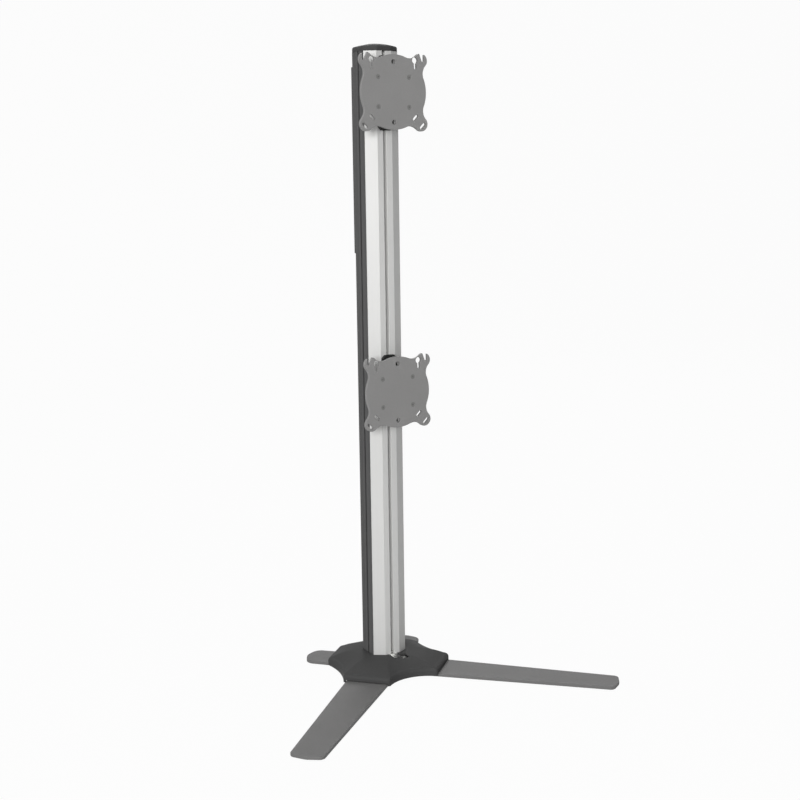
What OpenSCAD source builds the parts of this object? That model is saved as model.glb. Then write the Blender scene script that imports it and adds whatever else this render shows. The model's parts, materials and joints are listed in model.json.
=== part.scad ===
// Freestanding floor stand: one slotted column on a four-legged foot, with two
// tilting screen plates that slide up and down the column's front slot.
// Millimetres, +Z up, -Y is the side that the screens face.

/* [Column] */
// Height of the column's top end above the floor
column_top = 991; // [800:0.5:1300]
// Half of the column's width, side to side
column_half_w = 29.4; // [28.6:0.1:34]
// Half of the column's depth, front to back
column_half_d = 29.2; // [28.6:0.1:34]
// Half of the flat stretch on the front and on the back
front_flat_half = 12.8; // [11.5:0.1:15]
// Half of the flat stretch on each side
side_flat_half = 18.6; // [18.2:0.1:20]
// Width of the mouth of the front and rear slots
slot_w = 5.2; // [5.2:0.1:6]
// Thickness of the slot's lips
slot_lip_t = 2.4; // [2:0.1:3]
// Width of the slot behind its lips
slot_cavity_w = 11; // [10:0.1:12]
// Depth of the slot behind its lips
slot_cavity_d = 4.8; // [4.6:0.1:5.4]
// Depth of the cable channel in each side
channel_d = 13.4; // [11:0.1:14.5]
// Half of the cable channel's width
channel_half_w = 14.4; // [12:0.1:15]
// Depth of the step that the channel insert's lips lie in
channel_step_d = 2.2; // [2.1:0.1:2.6]
// Half of the width of that step
channel_step_half = 17.2; // [16.4:0.1:17.8]
// Thinnest web inside the column
core_wall = 2.6; // [2:0.1:3]
// Radius of the four threaded screw ports in the column's ends
port_r = 3; // [2.5:0.1:3.2]

/* [Cable channel inserts] */
// Wall of the insert inside the channel
insert_wall = 1.6; // [1.2:0.1:2]
// Width of the slit between the insert's two lips
insert_slit_w = 5.8; // [5:0.1:8]
// Width of the raised bead beside the slit
insert_bead_w = 6.2; // [4:0.1:8]
// How far the bead stands above the lips
insert_bead_h = 0.9; // [0.4:0.1:1.4]

/* [Rear cable cover] */
// Distance of the rear cover's upper end below the column's top end
rear_cover_drop = 20; // [6:1:200]
// Length of the rear cover
rear_cover_len = 290; // [200:1:300]
// Half of the rear cover's width
rear_cover_half_w = 18.3; // [17:0.1:20.5]
// How far the rear cover stands behind the column
rear_cover_d = 15; // [12:0.1:24]
// Wall of the rear cover
rear_cover_wall = 1.8; // [1.4:0.1:2.4]
// Outer corner radius of the rear cover
rear_cover_r = 5; // [3:0.1:7]
// Radius of the finger lip at the cover's lower end
finger_lip_r = 1.6; // [1:0.1:2.2]
// Height of one spring clip
clip_h = 18; // [12:1:26]
// Thickness of a clip's saddle and ears
clip_t = 1.8; // [1.4:0.1:2.4]
// Reach of a clip's ears along the cover's walls
clip_ear = 8; // [5:0.1:10]

/* [Top cap] */
// Height of the cap over the column's end, at its middle
cap_h = 12.3; // [11:0.1:16]
// How far the cap stands out past the column
cap_overhang = 0.3; // [0:0.1:1.5]
// Radius of the cap's domed top
cap_dome_r = 80; // [76:1:160]
// Depth of the plug that grips the column
cap_plug_d = 14; // [8:1:24]
// Wall of the plug
cap_plug_wall = 2; // [1.5:0.1:3]

/* [Legs] */
// Reach of the two front legs, from the column's axis to the tip
front_leg_len = 390; // [330:1:460]
// Reach of the two rear legs, from the column's axis to the tip
rear_leg_len = 135; // [130:1:200]
// Width that a front leg's taper starts from, at the column's axis
front_root_w = 71.5; // [66:0.5:73]
// Width that a rear leg's taper starts from, at the column's axis
rear_root_w = 61; // [58:0.5:66]
// Width of a front leg at its tip
front_tip_w = 53.5; // [48:0.5:60]
// Width of a rear leg at its tip
rear_tip_w = 57; // [52:0.5:60]
// Thickness of the steel legs
leg_t = 5; // [4.6:0.1:8]
// Corner radius of a front leg's tip
front_tip_r = 12; // [8:0.5:16]
// Corner radius of a rear leg's tip
rear_tip_r = 17; // [12:0.5:20]
// How far a tip bows out past its corners
tip_bow = 4; // [3:0.1:6]
// Radius of a rubber floor pad
pad_r = 12; // [8:0.5:14]
// Thickness of a rubber floor pad
pad_t = 2; // [1.5:0.1:3]

/* [Hub] */
// Thickness of the steel plate that joins the legs and the column
hub_plate_t = 5; // [4:0.1:6]
// Length of the hub cover's front lobes, from the column's axis
front_lobe_len = 101; // [96:0.5:110]
// Length of the hub cover's rear lobes, from the column's axis
rear_lobe_len = 88.5; // [86:0.5:96]
// Corner radius of the lobes
lobe_corner_r = 5; // [3:0.1:7]
// Radius of the hollow curve between two lobes
lobe_fillet_r = 44; // [32:0.5:44]
// Margin of a lobe beside the front leg that it covers
lobe_margin = 4.5; // [3:0.1:5.5]
// Wall of the hub cover
cover_wall = 2.4; // [1.8:0.1:2.4]
// Height of the cover's upright rim above the tops of the legs
cover_rim_h = 4.5; // [3.6:0.1:6]
// Radius of the rounded edge above the rim
cover_edge_r = 6; // [5.6:0.1:8]
// Height of the cover's collar at the column, above the floor
cover_collar_z = 29; // [28:0.1:38]
// Height of the cover's skirt above the floor, between the legs
cover_skirt_z = 4.5; // [2:0.1:5.5]
// Bulge of the cover's slope, where 1 is straight
cover_slope = 1.35; // [1:0.05:1.6]

/* [Foot bracket] */
// Height of the bracket's slot screw above the floor
foot_screw_z = 25; // [24:0.1:27]
// Thickness of the bracket's sheet
foot_bracket_t = 3; // [2:0.1:3]
// Half of the width of the bracket's upright leg
foot_bracket_half_w = 7; // [6:0.1:8]
// Reach of the bracket's flat leg, forward from the column
foot_bracket_reach = 18; // [17.5:0.1:20]
// Place of the bracket's down screw, to the right of the slot
foot_down_screw_x = 14.5; // [14:0.1:16]
// Height of the spacer under that screw's head
foot_spacer_h = 5; // [4:0.1:6]

/* [Heads] */
// Distance of the upper head's centre below the column's top end
upper_head_drop = 63.7; // [61:0.1:111]
// Height of the lower head's centre above the floor
lower_head_z = 467.6; // [440:0.1:500]
// Half of a carriage's height
carriage_half_h = 56; // [55:0.1:60]
// Half of a carriage's width on the column's front flat
carriage_half_w = 12.4; // [10.5:0.1:12.6]
// Thickness of a carriage's base
carriage_t = 6; // [4.8:0.1:7]
// Distance of a clamp screw above and below a head's centre
clamp_screw_z = 44.9; // [42:0.1:46]
// Radius of the boss round a clamp screw
clamp_boss_r = 7.8; // [6.5:0.1:8.5]
// Reach of that boss from the column's face
clamp_boss_reach = 12.8; // [11:0.1:13]
// Distance of the tilt bolt's axis from the column's face
tilt_axis_d = 15; // [14.8:0.1:18]
// Radius of the tilt bolt
tilt_bolt_r = 4; // [3:0.1:4]
// Radius of the carriage's knuckle round the tilt bolt
knuckle_r = 7.4; // [7:0.1:8.2]
// Half of the knuckle's width
knuckle_half_w = 15; // [12:0.1:16]
// Thickness of a friction washer
washer_t = 1.2; // [0.8:0.1:1.6]
// Thickness of the yoke's sheet
yoke_t = 3; // [2.5:0.1:3.2]
// Half of the yoke's width behind the screen plate
yoke_half_w = 31; // [30.5:0.1:34]
// Half of the yoke's height behind the screen plate
yoke_half_h = 26.6; // [26:0.1:28]
// Radius of the yoke's ears round the tilt bolt
yoke_ear_r = 11; // [9:0.1:12]

/* [Screen plate] */
// Thickness of the plate
plate_t = 5; // [4:0.1:7]
// Radius of the plate's round middle
plate_disc_r = 56; // [55:0.1:57]
// Distance of an ear's centre from the plate's middle, across and up
ear_at = 47.3; // [46.5:0.1:49]
// Radius of an ear
ear_r = 11; // [10.5:0.1:12]
// Radius of the hollows between the ears and the round middle
ear_fillet_r = 18; // [14:0.1:22]
// Half of the small screen hole pattern
vesa_small_half = 37.5; // [37.5:0.1:38]
// Half of the large screen hole pattern
vesa_large_half = 50; // [50:0.1:50.4]
// Radius of the rounded ends of the screen slots
vesa_slot_r = 2.35; // [2.2:0.05:2.6]
// Length of a small pattern slot, end to end
small_slot_len = 11.5; // [9:0.1:12]
// Length of a large pattern slot, end to end
large_slot_len = 12.5; // [9:0.1:13]
// Radius of a keyhole's entry
keyhole_r = 5; // [4.2:0.1:5.4]
// Height of a keyhole's entry above its resting place
keyhole_rise = 10.2; // [9:0.1:11]
// Half of the distance between the plate's screws, across
plate_screw_x = 26.6; // [26:0.1:27]
// Half of the distance between the plate's screws, up
plate_screw_z = 22.2; // [21.5:0.1:22.4]
// Radius of the two driver holes in front of the clamp screws
driver_hole_r = 3.6; // [2.8:0.1:4]

/* [Hidden] */
$fn = 64;

// Clearances and small fits
running_gap = 0.3;
slip_gap = 0.15;
thread_gap = 0.05;
cut_extra = 1;

// Screws: shank radius, head radius, head height and key radius
m4_r = 2;
m4_head_r = 3.8;
m4_head_h = 2.3;
m5_r = 2.5;
m5_head_r = 4.25;
m5_head_h = 5;
m5_key_r = 2.3;
m6_r = 3;
m6_head_r = 5;
m6_head_h = 3.6;
m6_sink_r = 5.9;
m6_sink_h = 3.2;
m6_key_r = 2.9;

// Places that follow the column's top end
upper_head_z = column_top - upper_head_drop;
rear_cover_z = column_top - rear_cover_drop - rear_cover_len;

// The foot: legs at 45 degrees, on their pads
leg_angle = 45;
leg_top = pad_t + leg_t;
column_bottom = leg_top + hub_plate_t;
function leg_half_w(root_w, tip_w, len, at) = (root_w + (tip_w - root_w) * at / len) / 2;
leg_start = max(front_root_w, rear_root_w) / 2 + 1;
lobe_half_w = lobe_margin
    + leg_half_w(front_root_w, front_tip_w, front_leg_len, front_lobe_len - lobe_corner_r);
function arm_len(lobe_len) = lobe_len - cover_wall - 4;
hub_arm_half_w = lobe_half_w - cover_wall - 3;
hub_disc_r = 60;
front_screws_at = [leg_start + 16, arm_len(front_lobe_len) - 10];
rear_screws_at = [leg_start + 13, arm_len(rear_lobe_len) - 10];

// The tip of a leg: the middle arc and the two corner circles that its outline wraps
function tip_mid_r(tip_w) = tip_w / 2 - 0.5;
function corner_along(len, r) = len - tip_bow - r;
function corner_across(tip_w, r) = tip_w / 2 - r;
function reach_y(tip_w, len, r) = max(
    (corner_along(len, r) + corner_across(tip_w, r)) * cos(leg_angle) + r,
    (len - tip_mid_r(tip_w)) * cos(leg_angle) + tip_mid_r(tip_w));

// The column's axis lies behind the middle of the foot's outline
front_reach_y = reach_y(front_tip_w, front_leg_len, front_tip_r);
rear_reach_y = reach_y(rear_tip_w, rear_leg_len, rear_tip_r);
axis_y = (front_reach_y - rear_reach_y) / 2;

// The column's inner chamber and screw ports
core_half_w = column_half_w - channel_d - core_wall;
port_x = core_half_w + core_wall + 1;
port_y = channel_half_w + port_r + 2;
core_half_d = port_y - port_r - core_wall;
core_deep_half_w = port_x - port_r - core_wall;
core_deep_half_d = column_half_d - slot_lip_t - slot_cavity_d - core_wall;

// The heads' driven sizes, as distances out from the column's front face
knuckle_room = 0.6;
yoke_back_d = tilt_axis_d + knuckle_r + knuckle_room;
plate_back_d = yoke_back_d + yoke_t;
plate_front_d = plate_back_d + plate_t;
head_seat_d = carriage_t - 1;
nut_t = 3.6;
nut_half_w = slot_cavity_w / 2 - 0.2;
nut_front = slot_lip_t + 0.1;
nut_half_h = carriage_half_h - 2;
ear_in = knuckle_half_w + washer_t + 0.1;
ear_out = ear_in + yoke_t;

// Moves a piece drawn about the column's axis to its place
module at_axis() {
    translate([0, axis_y, 0]) children();
}

// Moves a piece drawn from the column's front face, out along -Y, to a head's height
module at_head(z) {
    translate([0, axis_y - column_half_d, z]) children();
}

// A round bar along Y that starts d1 and ends d2 out from the face
module bar_y(r, d1, d2) {
    translate([0, -d1, 0]) rotate([90, 0, 0]) cylinder(r = r, h = d2 - d1);
}

// A round bar along X
module bar_x(r, x1, x2) {
    translate([x1, 0, 0]) rotate([0, 90, 0]) cylinder(r = r, h = x2 - x1);
}

// A flat shape drawn in X and Z, thickened outwards from distance d1 to d2
module slab_y(d1, d2) {
    translate([0, -d1, 0]) rotate([90, 0, 0]) linear_extrude(d2 - d1) children();
}

// The plan of a leg that points along +X
module leg_plan(root_w, tip_w, len, tip_r) {
    root_half = leg_half_w(root_w, tip_w, len, leg_start);
    hull() {
        translate([leg_start, -root_half]) square([1, 2 * root_half]);
        translate([len - tip_mid_r(tip_w), 0]) circle(r = tip_mid_r(tip_w));
        for (side = [-1, 1])
            translate([corner_along(len, tip_r), side * corner_across(tip_w, tip_r)]) circle(r = tip_r);
    }
}

// Turns a piece drawn along +X onto one of the four legs
module on_leg(turn) {
    at_axis() rotate(turn) children();
}

front_left_turn = 180 + leg_angle;
front_right_turn = -leg_angle;
rear_left_turn = 180 - leg_angle;
rear_right_turn = leg_angle;
leg_turns = [front_left_turn, front_right_turn, rear_left_turn, rear_right_turn];

function is_front(turn) = sin(turn) < 0;
function screws_at(turn) = is_front(turn) ? front_screws_at : rear_screws_at;

module leg(turn) {
    on_leg(turn) difference() {
        translate([0, 0, pad_t]) linear_extrude(leg_t) {
            if (is_front(turn)) leg_plan(front_root_w, front_tip_w, front_leg_len, front_tip_r);
            else leg_plan(rear_root_w, rear_tip_w, rear_leg_len, rear_tip_r);
        }
        for (x = screws_at(turn)) translate([x, 0, pad_t]) {
            translate([0, 0, -cut_extra]) cylinder(r = m6_r + running_gap, h = leg_t + 2 * cut_extra);
            cylinder(r1 = m6_sink_r + 0.4, r2 = m6_r + running_gap, h = m6_sink_h + 0.2);
        }
    }
}

module front_left_leg() {
    color("#7a7a78") leg(front_left_turn);
}

module front_right_leg() {
    color("#7a7a78") leg(front_right_turn);
}

module rear_left_leg() {
    color("#7a7a78") leg(rear_left_turn);
}

module rear_right_leg() {
    color("#7a7a78") leg(rear_right_turn);
}

// Rubber pads under the tips of the legs
module floor_pads() {
    pad_inset = tip_bow + pad_r + 5;
    color("#2a2a2a") for (turn = leg_turns) {
        len = is_front(turn) ? front_leg_len : rear_leg_len;
        on_leg(turn) translate([len - pad_inset, 0, 0]) cylinder(r = pad_r, h = pad_t);
    }
}

// The steel plate on top of the legs
module hub_plate() {
    cut_h = hub_plate_t + 2 * cut_extra;
    color("#5f5f5f") at_axis() difference() {
        translate([0, 0, leg_top]) linear_extrude(hub_plate_t) union() {
            circle(r = hub_disc_r);
            for (turn = leg_turns) rotate(turn) translate([0, -hub_arm_half_w])
                square([arm_len(lobe_at(turn)), 2 * hub_arm_half_w]);
        }
        translate([0, 0, leg_top - cut_extra]) {
            for (turn = leg_turns, x = screws_at(turn))
                rotate(turn) translate([x, 0, 0]) cylinder(r = m6_r + thread_gap, h = cut_h);
            for (sx = [-1, 1], sy = [-1, 1])
                translate([sx * port_x, sy * port_y, 0]) cylinder(r = m6_r + running_gap, h = cut_h);
            for (turn = boss_turns)
                rotate(turn) translate([cover_boss_at, 0, 0]) cylinder(r = m4_r + running_gap, h = cut_h);
            translate([foot_down_screw_x, -column_half_d - foot_down_screw_d, 0])
                cylinder(r = m5_r + thread_gap, h = cut_h);
        }
    }
}

// One countersunk screw up through a leg into the plate
module leg_screw() {
    translate([0, 0, pad_t]) difference() {
        union() {
            translate([0, 0, 0.2]) cylinder(r1 = m6_sink_r, r2 = m6_r, h = m6_sink_h);
            translate([0, 0, 0.2]) cylinder(r = m6_r, h = leg_t + hub_plate_t - 1);
        }
        translate([0, 0, -cut_extra]) cylinder(r = m6_key_r - 0.9, h = 2 * cut_extra + 0.8, $fn = 6);
    }
}

module leg_screws() {
    color("#9a9a9a") for (turn = leg_turns, x = screws_at(turn))
        on_leg(turn) translate([x, 0, 0]) leg_screw();
}

// One low-headed bolt up through the plate into a port of the column
module column_bolt() {
    bolt_in = 22;
    difference() {
        union() {
            translate([0, 0, leg_top - m6_head_h]) cylinder(r = m6_head_r, h = m6_head_h);
            translate([0, 0, leg_top - 0.1])
                cylinder(r = min(m6_r, port_r) - thread_gap, h = hub_plate_t + bolt_in);
        }
        translate([0, 0, leg_top - m6_head_h - cut_extra])
            cylinder(r = m6_key_r, h = 2 + cut_extra, $fn = 6);
    }
}

module column_bolts() {
    color("#9a9a9a") at_axis() for (sx = [-1, 1], sy = [-1, 1])
        translate([sx * port_x, sy * port_y, 0]) column_bolt();
}

// The hub cover's outline as a radius, at an angle of up to 45 degrees from a lobe's middle line
cover_rim_z = leg_top + cover_rim_h;
cover_edge_z = cover_rim_z + cover_edge_r;
cover_fillet_r = min(lobe_fillet_r, rear_lobe_len - lobe_corner_r - lobe_half_w - 1);
fillet_c = (lobe_half_w + cover_fillet_r) * sqrt(2);
valley_a = atan2(lobe_half_w, lobe_half_w + cover_fillet_r);
corner_y = lobe_half_w - lobe_corner_r;
function corner_x(len) = len - lobe_corner_r;
function end_a(len) = atan2(corner_y, len);
function side_a(len) = atan2(lobe_half_w, corner_x(len));
function corner_part(len, off) =
    let(c = norm([corner_x(len), corner_y]))
    c * cos(off) + sqrt(max(0, pow(lobe_corner_r, 2) - pow(c * sin(off), 2)));
function lobe_r(len, a) =
    a <= end_a(len) ? len / cos(a) :
    a <= side_a(len) ? corner_part(len, a - atan2(corner_y, corner_x(len))) :
    a <= valley_a ? lobe_half_w / sin(a) :
    fillet_c * cos(45 - a) - sqrt(pow(cover_fillet_r, 2) - pow(fillet_c * sin(45 - a), 2));

// Angles at which the outline is sampled, from a lobe's middle line to the valley beside it
corner_steps = 4;
valley_steps = 6;
function half_angles(len) = concat([0, end_a(len) / 2],
    [for (k = [0:corner_steps]) end_a(len) + (side_a(len) - end_a(len)) * k / corner_steps],
    [for (k = [0:valley_steps]) valley_a + (45 - valley_a) * k / valley_steps]);
half_n = corner_steps + valley_steps + 4;
function lobe_at(turn) = is_front(turn) ? front_lobe_len : rear_lobe_len;
function lobe_angles(turn) = let(h = half_angles(lobe_at(turn))) concat(
    [for (i = [half_n - 1:-1:1]) [turn - h[i], h[i], lobe_at(turn)]],
    [for (i = [0:half_n - 2]) [turn + h[i], h[i], lobe_at(turn)]]);
ring = [for (turn = [45, 135, 225, 315], a = lobe_angles(turn)) a];

// Radius of the column's eight-sided outline in a direction
function column_r(a) = let(
    c = abs(cos(a)), s = abs(sin(a)),
    nx = column_half_d - side_flat_half, ny = column_half_w - front_flat_half,
    d = nx * column_half_w + ny * side_flat_half)
    min(column_half_w / max(c, 0.001), column_half_d / max(s, 0.001), d / (nx * c + ny * s));

// One point of the cover's skin: up the outside, over to the column, and back along the inside
roof_steps = 5;
edge_steps = 3;
collar_gap = 0.8;
outer_n = 2 + edge_steps + roof_steps;
function skirt_z(len, f) =
    f < (end_a(len) + side_a(len)) / 2 + 0.01 ? leg_top + running_gap : cover_skirt_z;
function roof_z(t) = cover_edge_z + (cover_collar_z - cover_edge_z) * (1 - pow(1 - t, cover_slope));
function roof_r(a, start, t) = start + (column_r(a) + collar_gap - start) * t;
function outer_rz(a, f, len, k) = let(rim = lobe_r(len, f), turn = 90 * (k - 1) / edge_steps)
    k == 0 ? [rim, skirt_z(len, f)] :
    k <= edge_steps + 1 ?
        [rim - cover_edge_r * (1 - cos(turn)), cover_rim_z + cover_edge_r * sin(turn)] :
        let(t = (k - edge_steps - 1) / roof_steps) [roof_r(a, rim - cover_edge_r, t), roof_z(t)];
function inner_rz(a, f, len, k) = let(rim = lobe_r(len, f) - cover_wall)
    k < roof_steps + 1 ? let(t = 1 - k / roof_steps)
        [roof_r(a, lobe_r(len, f) - cover_edge_r - 0.8, t), roof_z(t) - cover_wall] :
    k == roof_steps + 1 ? [rim, cover_rim_z + 0.5] : [rim, skirt_z(len, f)];
function skin_point(p, k) = let(
    rz = k < outer_n ? outer_rz(p[0], p[1], p[2], k) : inner_rz(p[0], p[1], p[2], k - outer_n))
    [rz[0] * cos(p[0]), rz[0] * sin(p[0]), rz[1]];
skin_n = outer_n + roof_steps + 3;
skin_points = [for (p = ring, k = [0:skin_n - 1]) skin_point(p, k)];
function skin_index(i, k) = (i % len(ring)) * skin_n + k % skin_n;
skin_faces = [for (i = [0:len(ring) - 1], k = [0:skin_n - 1], half = [0, 1])
    half == 0 ? [skin_index(i, k), skin_index(i, k + 1), skin_index(i + 1, k + 1)] :
        [skin_index(i, k), skin_index(i + 1, k + 1), skin_index(i + 1, k)]];

// The cover's screw bosses, on the left, right and rear
boss_turns = [0, 90, 180];
cover_boss_at = 55;
cover_boss_r = 3.6;
valley_r = fillet_c - cover_fillet_r;
boss_rim = valley_r - cover_edge_r;
boss_roof_t = (boss_rim - cover_boss_at - cover_boss_r) / (boss_rim - column_half_w - collar_gap);
cover_boss_top = roof_z(boss_roof_t) - 0.4;
cover_screw_in = 6;

module hub_cover() {
    notch_half = foot_washer_r + 1;
    notch_reach = foot_bracket_t + foot_washer_t + m5_head_h + 1.2;
    color("#4c4c4c") at_axis() difference() {
        union() {
            polyhedron(points = skin_points, faces = skin_faces);
            for (turn = boss_turns) rotate(turn) translate([cover_boss_at, 0, column_bottom + running_gap])
                cylinder(r = cover_boss_r, h = cover_boss_top - column_bottom - running_gap);
        }
        for (turn = boss_turns) rotate(turn) translate([cover_boss_at, 0, column_bottom - cut_extra])
            cylinder(r = m4_r + thread_gap, h = cover_screw_in + 2 * cut_extra);
        translate([-notch_half, -column_half_d - notch_reach, column_bottom + foot_bracket_t])
            cube([2 * notch_half, notch_reach + 2, cover_collar_z]);
        translate([foot_down_screw_x, -column_half_d - foot_down_screw_d, column_bottom + foot_bracket_t])
            cylinder(r = foot_spacer_r + 0.6, h = cover_collar_z);
        translate([0, 0, column_bottom]) linear_extrude(cover_collar_z) column_outline(running_gap);
    }
}

// Self-tapping screws up through the plate into the cover's bosses
module hub_cover_screw() {
    key_r = 1.4;
    key_h = 1.2;
    difference() {
        union() {
            translate([0, 0, leg_top - m4_head_h]) cylinder(r = m4_head_r, h = m4_head_h);
            translate([0, 0, leg_top - 0.1]) cylinder(r = m4_r, h = hub_plate_t + cover_screw_in);
        }
        translate([0, 0, leg_top - m4_head_h - cut_extra]) cylinder(r = key_r, h = key_h + cut_extra, $fn = 6);
    }
}

module hub_cover_screws() {
    color("#9a9a9a") at_axis() for (turn = boss_turns)
        rotate(turn) translate([cover_boss_at, 0, 0]) hub_cover_screw();
}

// The column's eight-sided outline, grown all round by a margin
module column_outline(grow = 0) {
    w = column_half_w + grow;
    d = column_half_d + grow;
    f = front_flat_half + grow * 0.3;
    s = side_flat_half + grow * 0.3;
    polygon([[f, d], [-f, d], [-w, s], [-w, -s], [-f, -d], [f, -d], [w, -s], [w, s]]);
}

// The front slot, with a small bevel at its mouth
slot_bevel = 0.5;
module slot_cut() {
    translate([0, -column_half_d]) {
        translate([-slot_w / 2, -cut_extra]) square([slot_w, slot_lip_t + 2 * cut_extra]);
        translate([-slot_cavity_w / 2, slot_lip_t]) square([slot_cavity_w, slot_cavity_d]);
        polygon([[-slot_w / 2 - slot_bevel - 0.1, -0.1], [slot_w / 2 + slot_bevel + 0.1, -0.1],
            [0, slot_w / 2 + slot_bevel]]);
    }
}

module channel_cut() {
    translate([column_half_w - channel_d, -channel_half_w])
        square([channel_d + cut_extra, 2 * channel_half_w]);
    translate([column_half_w - channel_step_d, -channel_step_half])
        square([channel_step_d + cut_extra, 2 * channel_step_half]);
}

module column() {
    length = column_top - column_bottom;
    color("#d0d0ce") at_axis() translate([0, 0, column_bottom]) linear_extrude(length) difference() {
        column_outline();
        for (turn = [0, 180]) rotate(turn) {
            slot_cut();
            channel_cut();
        }
        square([2 * core_half_w, 2 * core_half_d], center = true);
        square([2 * core_deep_half_w, 2 * core_deep_half_d], center = true);
        for (sx = [-1, 1], sy = [-1, 1]) translate([sx * port_x, sy * port_y]) circle(r = port_r);
    }
}

// The profile of a channel insert, drawn for the right side of the column
insert_lip_out = column_half_w - 0.7;
insert_lip_t = 1.2;
module insert_profile() {
    back = column_half_w - channel_d + slip_gap;
    half = channel_half_w - slip_gap;
    step_half = channel_step_half - slip_gap;
    lip_back = column_half_w - channel_step_d + slip_gap;
    difference() {
        union() {
            translate([back, -half]) square([insert_lip_out - back, 2 * half]);
            translate([lip_back, -step_half]) square([insert_lip_out - lip_back, 2 * step_half]);
            translate([insert_lip_out - 0.1, -insert_slit_w / 2 - insert_bead_w])
                square([insert_bead_h + 0.1, insert_slit_w + 2 * insert_bead_w]);
        }
        translate([back + insert_wall, insert_wall - half])
            square([insert_lip_out - insert_lip_t - back - insert_wall, 2 * (half - insert_wall)]);
        translate([back + insert_wall, -insert_slit_w / 2]) square([channel_d, insert_slit_w]);
    }
}

module channel_insert(turn) {
    color("#5a5a5a") at_axis() rotate(turn) translate([0, 0, column_bottom])
        linear_extrude(column_top - column_bottom) insert_profile();
}

module left_channel_insert() {
    channel_insert(180);
}

module right_channel_insert() {
    channel_insert(0);
}

// The domed cap, with a hollow plug that grips the inner chamber
module top_cap() {
    color("#3c3c3c") at_axis() {
        intersection() {
            translate([0, 0, column_top]) linear_extrude(cap_h) column_outline(cap_overhang);
            translate([0, 0, column_top + cap_h - cap_dome_r]) sphere(r = cap_dome_r, $fn = 128);
        }
        plug_half_w = core_half_w - slip_gap;
        plug_half_d = core_half_d - slip_gap;
        translate([0, 0, column_top - cap_plug_d]) linear_extrude(cap_plug_d + 0.5) difference() {
            square([2 * plug_half_w, 2 * plug_half_d], center = true);
            square([2 * (plug_half_w - cap_plug_wall), 2 * (plug_half_d - cap_plug_wall)], center = true);
        }
    }
}

// The rear cover's outline: a box with two round corners behind the column
module rear_outline(inset) {
    half = rear_cover_half_w - inset;
    back = column_half_d + rear_cover_d - inset;
    r = rear_cover_r - inset;
    translate([-half, side_flat_half]) square([2 * half, back - r - side_flat_half]);
    translate([r - half, side_flat_half]) square([2 * (half - r), back - side_flat_half]);
    for (side = [-1, 1]) translate([side * (half - r), back - r]) circle(r = r);
}

module rear_cable_cover() {
    color("#4a4a4a") at_axis() {
        translate([0, 0, rear_cover_z]) linear_extrude(rear_cover_len) difference() {
            rear_outline(0);
            rear_outline(rear_cover_wall);
            column_outline(running_gap);
        }
        translate([0, column_half_d + rear_cover_d - finger_lip_r * 0.4, rear_cover_z + finger_lip_r])
            bar_x(finger_lip_r, rear_cover_r - rear_cover_half_w, rear_cover_half_w - rear_cover_r);
    }
}

// One moulded clip: a foot in the rear slot, a neck, a saddle and two ears inside the cover's walls
module cover_clip() {
    saddle_half = rear_cover_half_w - rear_cover_wall - slip_gap;
    foot_t = slot_cavity_d - 1;
    translate([0, column_half_d, 0]) linear_extrude(clip_h) {
        translate([-nut_half_w, -slot_lip_t - slip_gap - foot_t]) square([2 * nut_half_w, foot_t]);
        translate([slip_gap - slot_w / 2, -slot_lip_t - 1]) square([slot_w - 2 * slip_gap, slot_lip_t + 2]);
        translate([-saddle_half, slip_gap]) square([2 * saddle_half, clip_t]);
        for (side = [-1, 1]) translate([side * (saddle_half - clip_t / 2) - clip_t / 2, slip_gap])
            square([clip_t, clip_t + clip_ear]);
    }
}

module rear_cover_clips() {
    edge = 24;
    span = rear_cover_len - 2 * edge - clip_h;
    color("#303030") at_axis() for (k = [0:2])
        translate([0, 0, rear_cover_z + edge + span * k / 2]) cover_clip();
}

// The angle bracket under the cover's front edge, screwed to the slot and to the hub plate
foot_down_screw_d = foot_bracket_reach - 6;
foot_washer_t = 1.2;
foot_washer_r = 6;
foot_spacer_r = m5_head_r + 0.8;
module foot_bracket() {
    up_h = foot_screw_z + 5 - column_bottom;
    flat_w = foot_bracket_half_w + foot_down_screw_x + 5.5;
    color("#b8b8b8") at_head(column_bottom) difference() {
        union() {
            translate([-foot_bracket_half_w, -foot_bracket_t - 0.1, 0])
                cube([2 * foot_bracket_half_w, foot_bracket_t, up_h]);
            translate([-foot_bracket_half_w, -foot_bracket_reach, 0])
                cube([flat_w, foot_bracket_reach - 0.1, foot_bracket_t]);
        }
        translate([0, 0, foot_screw_z - column_bottom])
            bar_y(m5_r + 0.25, -cut_extra, foot_bracket_t + cut_extra);
        translate([foot_down_screw_x, -foot_down_screw_d, -cut_extra])
            cylinder(r = m5_r + 0.25, h = foot_bracket_t + 2 * cut_extra);
    }
}

// One socket screw whose head sits on z = 0 and whose shank goes down
module socket_screw(shank) {
    difference() {
        union() {
            cylinder(r = m5_head_r, h = m5_head_h);
            translate([0, 0, -shank]) cylinder(r = m5_r, h = shank + 0.1);
        }
        translate([0, 0, m5_head_h - 2.5]) cylinder(r = m5_key_r, h = 2.5 + cut_extra, $fn = 6);
    }
}

module foot_bracket_screws() {
    seat = foot_bracket_t + foot_washer_t + 0.1;
    color("#c8c8c8") at_head(0) {
        translate([0, -seat, foot_screw_z]) rotate([90, 0, 0]) socket_screw(seat + nut_front + nut_t);
        translate([foot_down_screw_x, -foot_down_screw_d, column_bottom + foot_bracket_t + foot_spacer_h])
            socket_screw(foot_bracket_t + foot_spacer_h + hub_plate_t - 0.5);
    }
}

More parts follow.
